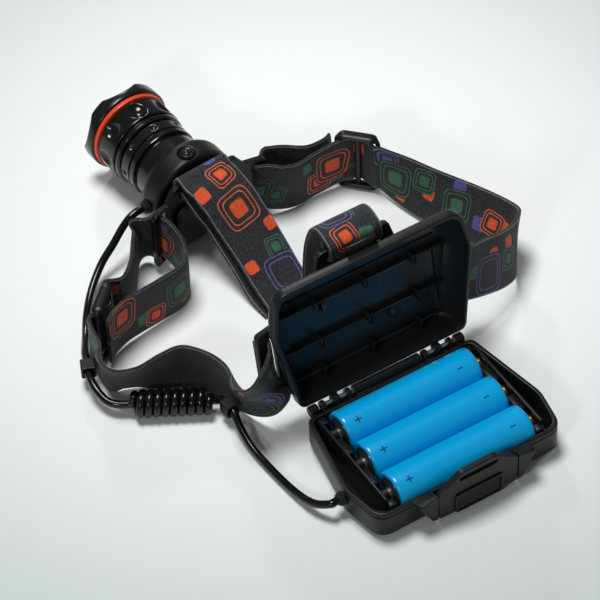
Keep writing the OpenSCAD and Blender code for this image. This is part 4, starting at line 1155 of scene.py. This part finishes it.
plus_end, minus_end = -cell_l / 2 + 1.6, cell_l / 2
sleeve_profile = [
    (plus_end + 0.35, 6.9), (plus_end + 0.02, 7.3), (plus_end, 8.2), (plus_end + 0.25, 8.8),
    (plus_end + 0.8, 9.1), (plus_end + 1.5, 9.15), (-20, 9.15), (-8, 9.14), (8, 9.15), (20, 9.14),
    (minus_end - 1.5, 9.15), (minus_end - 0.8, 9.1), (minus_end - 0.25, 8.8), (minus_end, 8.2),
    (minus_end - 0.02, 7.5), (minus_end - 0.35, 7.2),
]


def write_sleeve_map(piece, y):
    """Length and girth of the sleeve in millimetres, with zero girth on top."""
    layer = piece.data.uv_layers.new(name="sleeve")
    for polygon in piece.data.polygons:
        middle = polygon.center / mm
        centre = math.atan2(-(middle.y - y), middle.z - cell_z)
        for loop in polygon.loop_indices:
            p = piece.data.vertices[piece.data.loops[loop].vertex_index].co / mm
            turn = math.atan2(-(p.y - y), p.z - cell_z)
            turn += 2 * math.pi * round((centre - turn) / (2 * math.pi))
            layer.data[loop].uv = (p.x, turn * cell_r)


for name, row in (("rear", 1), ("middle", 0), ("front", -1)):
    y = row * pitch
    sleeve = make_piece(f"sleeve_{name}", turned_x(sleeve_profile, y, cell_z), cell_sleeve, 60)
    write_sleeve_map(sleeve, y)
    settle(sleeve, "tray", "cell_wrap", f"cell_{name}")
    card = turned_x([(plus_end + 0.4, 7.2), (plus_end + 0.3, 4.6), (plus_end + 0.3, 2)], y, cell_z, 40)
    can = turned_x([(minus_end - 0.3, 7.4), (minus_end - 0.25, 5), (minus_end - 0.3, 0.2)], y, cell_z, 40)
    settle(make_piece(f"card_{name}", card, card_ring), "tray", "cell_wrap")
    settle(make_piece(f"can_{name}", can, pin_steel), "tray", "pin_steel")

# %% [markdown]
# ## Contacts
# Black carriers stand at both ends of the cells. One holds flat tabs for the caps, and the other
# conical springs. A spring is a tube along a helix that widens towards its carrier. A carrier is a thin
# wall of one block, with a moulded post between each pair of cells.

# %% Carriers
board_x, board_h, board_t, contact_l = 36.25, 17.6, 1.2, 3.6
pocket_half, carrier_end, post_end, post_drop = 4.6, 6, 8.4, 2.2
cell_gap, post_root = 0.5, 0.4
for name, node, side in (("spring_carrier", "spring_board", 1), ("tab_carrier", "tab_board", -1)):
    inner = side * board_x
    left, right = sorted((inner, inner + side * board_t))
    parts = [block((left, -pitch - carrier_end, floor_t), (right, pitch + carrier_end, board_h), 0.3)]
    near, far = sorted((side * (cell_l / 2 + cell_gap), inner + side * post_root))
    for low, high in ((-pitch - post_end, -pitch - pocket_half), (-pitch + pocket_half, -pocket_half),
                      (pocket_half, pitch - pocket_half), (pitch + pocket_half, pitch + post_end)):
        parts.append(block((near, low, floor_t), (far, high, board_h - post_drop), 0.5))
    settle(make_piece(name, together(*parts), box_plastic), "tray", "box_plastic", node)

# %% Conical springs
spring_turns, spring_wire, spring_steps = 4, 0.45, 20
spring_r, spring_flare, spring_gap = 1.9, 2.2, 0.3
springs = []
for row in (-1, 0, 1):
    path = []
    for i in range(spring_turns * spring_steps + 1):
        share = i / (spring_turns * spring_steps)
        a = 2 * math.pi * spring_turns * share
        r = spring_r + spring_flare * share
        x = cell_l / 2 + spring_gap + (contact_l - 2 * spring_gap) * share
        path.append((x, row * pitch + r * math.cos(a), cell_z + r * math.sin(a)))
    springs.append(tube(path, spring_wire, 8))
settle(make_piece("springs", together(*springs), contact_brass), "tray", "contact_brass", "contact_springs")

# %% [markdown]
# ## The lamp
# The lamp is turned on a lathe, so each of its pieces is a profile spun about the lamp's axis. The
# bright dimples around the zoom sleeve and the collar are cut by a ball: where a point of the skin
# lies inside the ball, it moves in to the ball's surface. The bezel's crown is cut the same way, by
# round cutters from the front, and so is the dish in the housing's top, with a pocket in which the
# button moves. Booleans would cut the same forms but leave long thin faces that shade badly.

# %% Turned lamp pieces
def turned_lamp(profile, sides=128, cut=None, crowd=0):
    """A profile of (radius, y) turned about the lamp's axis; crowd draws its rows together on top."""
    rings = []
    for j in range(sides):
        a = 2 * math.pi * j / sides
        a -= crowd * math.sin(a)
        rows = [cut(r, y, a) if cut else (r, y) for r, y in profile]
        rings.append([head_at((r * math.sin(a), y, head_z + r * math.cos(a))) for r, y in rows])
    return skin(rings, wrap=True)


def finer(profile, step, shell):
    """A profile with points added on the long stretches outside a radius."""
    rows = []
    for (r0, y0), (r1, y1) in zip(profile, profile[1:] + profile[:1]):
        long = math.hypot(r1 - r0, y1 - y0) if min(r0, r1) > shell else 0
        count = max(1, math.ceil(long / step))
        rows += [(r0 + (r1 - r0) * k / count, y0 + (y1 - y0) * k / count) for k in range(count)]
    return rows


def ball_cut(balls, ball_at, ball_y, ball_r, shell):
    """Dimples by balls spaced around the axis; only the outer shell is cut."""
    def cut(r, y, a):
        step = 2 * math.pi / balls
        off = (a + step / 2) % step - step / 2
        inside = ball_r ** 2 - (y - ball_y) ** 2 - (ball_at * math.sin(off)) ** 2
        if r > shell and inside > 0:
            r = min(r, ball_at * math.cos(off) - math.sqrt(inside))
        return r, y
    return cut


housing_l, barrel_l, sleeve_l, accent_w, bezel_l = 13, 19, 14.4, 2, 6.5
sleeve_y = housing_l + barrel_l
accent_y = sleeve_y + sleeve_l + 0.6
bezel_y = accent_y + accent_w
bezel_r, accent_r, sleeve_r, collar_r, barrel_r = 19.7, 18.7, 17.8, 16.4, 15.6
neck_r, lens_r, slide_r = 16.95, 15.85, 14.8

# %% Bezel with its scalloped crown
scallops, scallop_depth = 5, 2.8
chord = bezel_r * math.sin(math.radians(126 / scallops))
scallop_r = (chord ** 2 + scallop_depth ** 2) / (2 * scallop_depth)
crown_base, crown_y = bezel_y + 2.6, bezel_y + bezel_l


def crown_cut(r, y, a):
    """Points above the scallop move down to it, so the crown's edge keeps its rounding."""
    step = 2 * math.pi / scallops
    off = (a + step / 2) % step - step / 2
    x = bezel_r * math.sin(off)
    floor = crown_y
    if abs(x) < chord:
        floor = crown_y + scallop_r - scallop_depth - math.sqrt(scallop_r ** 2 - x ** 2)
    if y > crown_base:
        y = crown_base + (y - crown_base) * (floor - crown_base) / (crown_y - crown_base)
    return r, y


bezel_profile = [
    (neck_r, bezel_y), (bezel_r - 0.7, bezel_y), (bezel_r - 0.2, bezel_y + 0.2), (bezel_r, bezel_y + 0.7),
    (bezel_r, crown_base), (bezel_r, crown_y - 0.8), (bezel_r - 0.12, crown_y - 0.3),
    (bezel_r - 0.5, crown_y), (lens_r + 0.6, crown_y), (lens_r + 0.1, crown_y - 0.2),
    (lens_r - 0.2, crown_y - 0.7), (lens_r - 0.2, bezel_y + 3.4), (neck_r, bezel_y + 3),
]
settle(make_piece("crown_bezel", turned_lamp(bezel_profile, 200, crown_cut), satin_anodised, 50),
       "zoom_head", "black_anodised", "bezel")
accent_profile = [
    (neck_r, accent_y), (accent_r - 0.35, accent_y), (accent_r - 0.08, accent_y + 0.12),
    (accent_r, accent_y + 0.4), (accent_r, bezel_y - 0.4), (accent_r - 0.08, bezel_y - 0.12),
    (accent_r - 0.35, bezel_y), (neck_r, bezel_y),
]
settle(make_piece("orange_ring", turned_lamp(accent_profile), accent_orange), "zoom_head", "accent_orange",
       "accent_ring")

# %% Zoom sleeve with its dimples
sleeve_back = sleeve_y + 0.6
fine_step, cut_skin = 0.25, 0.3
dimples, dimple_out, dimple_y, dimple_r = 8, 4.6, 8.4, 6.5
zoom_profile = finer([
    (slide_r + 0.05, sleeve_back), (sleeve_r - 1.2, sleeve_back), (sleeve_r - 0.5, sleeve_back + 0.6),
    (sleeve_r - 0.4, sleeve_back + 2), (sleeve_r - 1.1, sleeve_back + 2.4), (sleeve_r - 1.1, sleeve_back + 3),
    (sleeve_r - 0.2, sleeve_back + 3.3), (sleeve_r, sleeve_back + 3.7), (sleeve_r, accent_y - 0.9),
    (sleeve_r - 0.15, accent_y - 0.4), (sleeve_r - 0.6, accent_y), (neck_r, accent_y),
    (neck_r, bezel_y + 1.4), (lens_r + 0.1, bezel_y + 1.4), (lens_r + 0.1, accent_y + 0.5),
    (slide_r + 0.05, accent_y + 0.5),
], fine_step, sleeve_r - 1.5)
sleeve_cut = ball_cut(dimples, sleeve_r + dimple_out, sleeve_back + dimple_y, dimple_r, sleeve_r - cut_skin)
settle(make_piece("dimpled_sleeve", turned_lamp(zoom_profile, 320, sleeve_cut), black_anodised, 55),
       "zoom_head", "black_anodised", "zoom_sleeve")

# %% Barrel and its grip collar
flange_r, barrel_in = 16.8, 12.6
barrel_back, collar_y, slide_l = housing_l - 2.2, sleeve_y - 9, 10.5
barrel_profile = finer([
    (barrel_in, barrel_back - 1.8), (flange_r, barrel_back - 1.8), (flange_r, barrel_back),
    (barrel_r, barrel_back), (barrel_r, collar_y - 2), (barrel_r - 0.9, collar_y - 1.6),
    (barrel_r - 0.9, collar_y - 0.4), (collar_r - 0.6, collar_y), (collar_r - 0.1, collar_y + 0.2),
    (collar_r, collar_y + 0.6), (collar_r, collar_y + 2.4), (collar_r - 0.7, collar_y + 2.8),
    (collar_r - 0.7, collar_y + 3.6), (collar_r, collar_y + 4), (collar_r, sleeve_y - 0.6),
    (collar_r - 0.2, sleeve_y - 0.1), (slide_r, sleeve_y), (slide_r, sleeve_y + 3),
    (slide_r - 0.9, sleeve_y + 3), (slide_r - 0.9, sleeve_y + 4.6), (slide_r, sleeve_y + 4.6),
    (slide_r, sleeve_y + slide_l), (barrel_in, sleeve_y + slide_l),
], fine_step, collar_r - 1)
notch_out, notch_y, notch_r = 0.9, 6.3, 1.8
collar_cut = ball_cut(dimples, collar_r + notch_out, collar_y + notch_y, notch_r, collar_r - cut_skin)
settle(make_piece("barrel", turned_lamp(barrel_profile, 256, collar_cut), black_anodised, 45), "lamp",
       "black_anodised", "lamp_barrel")

# %% Rear housing
button_y, button_r = 5, 3.15
dish_r, dish_depth, dish_slope, pocket_r, pocket_depth = 4.6, 0.7, 1.3, 3.6, 1.3


def button_dish(r, y, a):
    """A shallow dish in the housing's top with a pocket in it, where the button moves."""
    x = r * math.sin(a)
    away = math.hypot(x, y - button_y)
    if r > housing_r - 1 and math.cos(a) > 0 and away < dish_r:
        r -= dish_depth * eased(min(1, (dish_r - away) / dish_slope))
        if away < pocket_r:
            r -= pocket_depth
    return r, y


housing_profile = finer([
    (0.05, 0), (housing_r - 2.4, 0), (housing_r - 1.2, 0.2), (housing_r - 0.4, 0.9), (housing_r, 2.2),
    (housing_r, housing_l - 3.8), (housing_r - 0.3, housing_l - 2.4), (housing_r - 1, housing_l - 1.2),
    (housing_r - 2, housing_l - 0.4), (housing_r - 3.2, housing_l), (barrel_r + 0.05, housing_l),
    (barrel_r + 0.05, housing_l - 2.2), (housing_r - 2.2, housing_l - 2.2), (housing_r - 2.2, 2.2),
    (0.05, 2.2),
], 0.2, housing_r - 1.5)
tilt_y, tilt_z, lug_l, lug_r, lug_root = -2.7, -16.3, 10, 2.3, 1.1
lug_eye = bar_x(0, tilt_y, tilt_z, lug_r, lug_l, 32, 0.4)
lug = together(lug_eye, block((-lug_l / 2, tilt_y, tilt_z), (lug_l / 2, lug_root, tilt_z + lug_r), 0.3))
housing = together(turned_lamp(housing_profile, 220, button_dish, 0.7),
                   moved(lug, lambda p: head_at((p.x, p.y, p.z + head_z))))
settle(make_piece("housing", housing, head_plastic, 45), "lamp", "head_plastic", "rear_housing")

# %% Power button
button_profile = [
    (0.02, 0.7), (0.9, 0.62), (1.6, 0.35), (1.9, 0), (2.3, -0.15), (button_r - 0.4, 0.05), (button_r, -0.3),
    (button_r, -1.1), (0.02, -1.1),
]
rings = []
for r, rise in button_profile:
    z = head_z + (housing_r + rise)
    rings.append([head_at((r * math.cos(a), button_y + r * math.sin(a), z)) for a in even_turns(48)])
settle(make_piece("button", skin(rings), button_rubber), "button", "button_rubber", "power_button")

# %% [markdown]
# ## Lens and light source
# A plain thick lens stands in front of a small yellow emitter. Glass needs only a shader with full
# transmission. The emitter stays a CAD solid and gets a finish with the grid of its phosphor.

# %% Lens
lens_y, lens_edge, lens_rise = accent_y + 0.5, 2.4, 5
dome_r = ((lens_r - 1) ** 2 + lens_rise ** 2) / (2 * lens_rise)
dome_y = lens_y + lens_edge + lens_rise - dome_r
dome_half = math.asin((lens_r - 1) / dome_r)
dome_steps, axis_gap = 16, 0.02
dome_turns = [dome_half * (1 - k / dome_steps) for k in range(dome_steps + 1)]
dome = [(dome_r * math.sin(a) + axis_gap, dome_y + dome_r * math.cos(a)) for a in dome_turns]
lens_profile = [(axis_gap, lens_y), (lens_r - 0.2, lens_y), (lens_r, lens_y + 0.2),
                (lens_r, lens_y + lens_edge), *dome]
lens_constants = {"Transmission Weight": 1, "IOR": 1.49, "Base Color": colour(244, 250, 255)}
lens_glass = Finish("lens_glass", lens_constants)
lens_glass.wear(Roughness=0.02 + (lens_glass.noise(300, 2) - 0.5).clamped() * 0.05)
lens = make_piece("lens_dome", turned_lamp(lens_profile, 96), lens_glass, 50)
settle(lens, "zoom_head", "lens_clear", "lens")

# %% Finishes for the CAD nodes that stay
phosphor = Finish("phosphor", {"IOR": 1.5})
grid = phosphor.node("TexVoronoi", {}, {"Vector": phosphor.node("TexCoord", out="Object"), "Scale": 1400})
phosphor.wear(Base_Color=phosphor.mix(grid, colour(240, 214, 92), colour(214, 178, 60)))
phosphor.wear(Roughness=0.4 + grid * 0.2)
board_white = moulded("board_white", colour(226, 226, 220), 0.45, grain=0.2, dust=0)
board_green = moulded("board_green", colour(38, 84, 52), 0.4, grain=0.3)
cad_finishes = {
    "hinge_pins": pin_steel, "latch_pin": pin_steel, "tilt_pin": pin_steel, "cell_caps": pin_steel,
    "contact_tabs": dark_steel, "barrel_oring": seal_rubber, "led_pill": bare_aluminium,
    "led_board": board_white, "led_emitter": phosphor, "driver_board": board_green,
    "button_switch": head_plastic,
}
for node, finish in cad_finishes.items():
    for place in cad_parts[node].material_slots:
        place.material = finish.material
print("CAD nodes with a finish of their own:", len(cad_finishes))

# %% [markdown]
# ## Forehead plate, pad, sliders and clips
# The bent plate and the cable clips have the right shape in CAD already, only with knife edges. Copies
# with rounded edges look moulded. A strap slider is a rounded loop with two thick rails and flat upright
# bars, so it is a skin over oval rings instead, with a middle bar that the strap goes under. The foam
# pad behind the plate is soft and gets a crowned form of its own: its faces bulge and its rim pulls in.
# It is too thin for a cloth simulation to show. A ribbed collar grips the cable at each wall.

# %% Copies of CAD solids
def cad_copy(name, node, finish, edge, steps=3):
    """A new piece with a CAD node's shape, whose flat faces are whole and whose edges are rounded."""
    mesh = bpy.data.meshes.new(name)
    shape = bmesh.new()
    shape.from_mesh(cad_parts[node].data)
    bmesh.ops.remove_doubles(shape, verts=shape.verts, dist=0.002 * mm)
    bmesh.ops.dissolve_limit(shape, angle_limit=math.radians(0.6), verts=shape.verts, edges=shape.edges)
    shape.to_mesh(mesh)
    shape.free()
    for extra in ("custom_normal", "sharp_face"):
        if mesh.attributes.get(extra):
            mesh.attributes.remove(mesh.attributes[extra])
    mesh.shade_smooth()
    mesh.set_sharp_from_angle(angle=math.radians(30))
    mesh.materials.clear()
    mesh.materials.append(finish.material)
    piece = bpy.data.objects.new(name, mesh)
    scene.collection.objects.link(piece)
    return soften(piece, edge, steps)


# %% Moulded fittings
fittings_to_round = [
    ("plate", "forehead_plate", plate_plastic, 0.45, "head_plastic"),
    ("clip_upper", "clip_one", box_plastic, 0.6, "box_plastic"),
    ("clip_lower", "clip_two", box_plastic, 0.6, "box_plastic"),
]
for name, node, finish, edge, slot in fittings_to_round:
    settle(cad_copy(name, node, finish, edge), "harness", slot, node)

# %% Strap sliders
slider_h, slider_rail, rail_half, bar_half = 31, 2.3, 2.7, 0.9
loop_corner, loop_sides, loop_steps = 3.4, 12, 28
rail_start, rail_ease = 12.8, 1.2


def oval(middle, outward, wide, thick):
    """A ring around a bar: wide along the outward direction, thick across the slider."""
    flat = Vector((0, 1, 0))
    return [middle + outward * wide * math.cos(a) + flat * thick * math.sin(a)
            for a in even_turns(loop_sides)]


def slider(at, turn):
    """A rounded loop with a middle bar; its two rails are thick and its upright bars are flat."""
    x, z = slider_w / 2 - slider_end / 2, slider_h / 2 - slider_rail / 2
    corners = [(x, z), (-x, z), (-x, -z), (x, -z)]
    way = paced(rounded(corners, [loop_corner] * 4, 8), corners, [loop_steps] * 4)
    rings = []
    for i, p in enumerate(way):
        ahead = (way[(i + 1) % len(way)] - way[i - 1]).normalized()
        share = max(0, min(1, (abs(p.y) - rail_start) / rail_ease))
        thick = bar_half + (rail_half - bar_half) * eased(share)
        rings.append(oval(Vector((p.x, 0, p.y)), Vector((ahead.y, 0, -ahead.x)), slider_rail / 2, thick))
    middle = [oval(Vector((0, 0, end)), Vector((1, 0, 0)), slider_mid / 2, bar_half) for end in (-z, z)]
    loop = together(skin(rings, wrap=True), skin(middle))
    return moved(loop, lambda p: beside(at, turn, p.x, p.y) + Vector((0, 0, p.z)))


for name, node, at, turn in (("slider_left", "left_slider", left_slider_at, left_slider_turn),
                             ("slider_right", "right_slider", right_slider_at, right_slider_turn)):
    settle(make_piece(name, slider(at, turn), slider_plastic, 60), "harness", "grip_plastic", node)

# %% Foam pad
foam = Finish("foam", {"Sheen Weight": 0.05})
pores = foam.node("TexVoronoi", {}, {"Vector": foam.node("TexCoord", out="Object"), "Scale": 1100})
foam.wear(Base_Color=foam.mix(pores, colour(16, 17, 18), colour(34, 35, 37)))
foam.wear(Roughness=0.85 + pores * 0.1)
foam.bump(pores, 0.5, 0.0002)
foam_half, foam_low, foam_high, foam_t, foam_steps = 17, 4, 27, 3, 24
foam_r = plate_r - plate_t
foam_pull, foam_square, foam_softness = 0.05, 6, 0.4


def foam_point(u, v, face):
    """A point of the pad: u and v run from -1 to 1 over it, and face is 1 behind and -1 at the plate."""
    x = foam_half * u * (1 - foam_pull * v ** 4)
    z = (foam_low + foam_high) / 2 + (foam_high - foam_low) / 2 * v * (1 - foam_pull * u ** 4)
    fullness = ((1 - u ** foam_square) * (1 - v ** foam_square)) ** foam_softness
    depth = foam_t / 2 + face * foam_t / 2 * fullness
    y = plate_y - plate_r + math.sqrt((foam_r - depth) ** 2 - x ** 2)
    return head_at((x, y, z))


foam_points, foam_faces = [], []
for face in (1, -1):
    foam_faces += grid_faces(foam_steps, foam_steps, len(foam_points))
    for j in range(foam_steps + 1):
        for i in range(foam_steps + 1):
            foam_points.append(tuple(foam_point(2 * i / foam_steps - 1, 2 * j / foam_steps - 1, face)))
foam_pad = make_piece("foam_pad", (foam_points, foam_faces), foam, 80)
shape = bmesh.new()
shape.from_mesh(foam_pad.data)
bmesh.ops.remove_doubles(shape, verts=shape.verts, dist=0.001 * mm)
bmesh.ops.recalc_face_normals(shape, faces=shape.faces)
shape.to_mesh(foam_pad.data)
shape.free()
settle(foam_pad, "harness", "foam", "forehead_pad")


# %% Cable glands
gland_profile = [
    (-2.4, 2.3), (0.05, 2.35), (0.1, 3.25), (0.5, 3.3), (0.75, 2.9), (1, 2.75), (1.25, 2.9), (1.5, 2.95),
    (1.7, 2.6), (1.95, 2.5), (2.2, 2.55), (2.5, 2.3), (2.6, 1.95),
]


def gland(name, node, start, way, body):
    """A ribbed rubber collar that grips the cable where it enters a wall."""
    side = way.cross(Vector((0, 0, 1))).normalized()
    other = way.cross(side)
    rings = []
    for along, r in gland_profile:
        rings.append([start + way * along + r * (math.cos(a) * side + math.sin(a) * other)
                      for a in even_turns(32)])
    settle(make_piece(name, skin(rings), gland_rubber), body, "black_rubber", node)


lamp_out = Vector((-math.cos(head_turn), -math.sin(head_turn), 0))
gland("gland_lamp", "lamp_gland", from_lamp(-gland_l), lamp_out, "lamp")
gland("gland_tray", "tray_gland", tray_gland + Vector((gland_l, 0, 0)), Vector((-1, 0, 0)), "tray")

# %% [markdown]
# ## Floor and light
# The picture has a white table that darkens a little away from its middle. A wide pale plane is enough, and
# that darkening is painted shade in its colour: a ramp of the distance from the middle of the light's pool,
# which stands in for the light falling off. One large soft light stands above and a little behind the object,
# so that shadows fall towards the camera. A small light behind and one at the front left only add glints on
# edges and turned metal. The world fills the shadows with a weak plain white.

# %% Floor
floor_half = 3.0
floor_corners = [(x * floor_half, y * floor_half, 0) for x, y in ((-1, -1), (1, -1), (1, 1), (-1, 1))]
# Middle and reach of the painted shade that darkens the table away from the light's pool.
light_pool_x, light_pool_y, painted_falloff_start, painted_falloff_width = 0.03, 0.13, 0.075, 0.18
floor_mesh = bpy.data.meshes.new("table")
floor_mesh.from_pydata(floor_corners, [], [(0, 1, 2, 3)])
table_white = Finish("table_white", {"IOR": 1.4, "Specular IOR Level": 0.15})
table_place = table_white.node("TexCoord", out="Object")
# Painted shade: the distance from the light's pool darkens the table's colour towards colour(200, 208, 207),
# standing in for the light falling off.
aside = table_white.node("SeparateXYZ", {}, [table_place], out="X") - light_pool_x
ahead = table_white.node("SeparateXYZ", {}, [table_place], out="Y") - light_pool_y
painted_falloff = (((aside * aside + ahead * ahead) ** 0.5 - painted_falloff_start) / painted_falloff_width).clamped()
paper = table_white.mix(table_white.noise(6, 2), colour(244, 248, 247), colour(247, 251, 250))
table_white.wear(Base_Color=table_white.mix(eased(painted_falloff), paper, colour(200, 208, 207)))
table_white.wear(Roughness=0.6 + (table_white.noise(30, 2) - 0.5) * 0.1)
floor_mesh.materials.append(table_white.material)
table = bpy.data.objects.new("table", floor_mesh)
scene.collection.objects.link(table)
table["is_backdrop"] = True


# %% Lights
def soft_light(name, place, aim, size, watts):
    """A round area light at a place in metres, turned towards its aim."""
    data = bpy.data.lights.new(name, "AREA")
    data.shape = "DISK"
    data.size = size
    data.energy = watts
    lamp = bpy.data.objects.new(name, data)
    lamp.location = place
    lamp.rotation_euler = (Vector(aim) - Vector(place)).to_track_quat("-Z", "Y").to_euler()
    scene.collection.objects.link(lamp)
    return lamp


soft_light("top_light", (-0.08, 0.4, 1.47), (0.01, 0.1, 0), 0.55, 17.6)
soft_light("back_light", (0.35, 1.1, 0.62), (0.02, 0.1, 0), 0.14, 1.9)
soft_light("front_light", (-0.75, -0.42, 0.62), (0, 0.05, 0), 0.14, 1.8)
world = bpy.data.worlds.new("studio")
world.use_nodes = True
scene.world = world
background = world.node_tree.nodes["Background"]
background.inputs["Color"].default_value = (1, 1, 1, 1)
background.inputs["Strength"].default_value = 0.14
scene.view_settings.view_transform = "Standard"
print("lights:", len(bpy.data.lights))

# %% [markdown]
# ## The dressed model's size
# The dressed model should fill the same box as the CAD part, to within a few millimetres, so its box is
# printed at the end.

# %% Finish
low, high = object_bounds()
print("visual box in mm:", [round(v / mm, 1) for v in (*low, *high)])
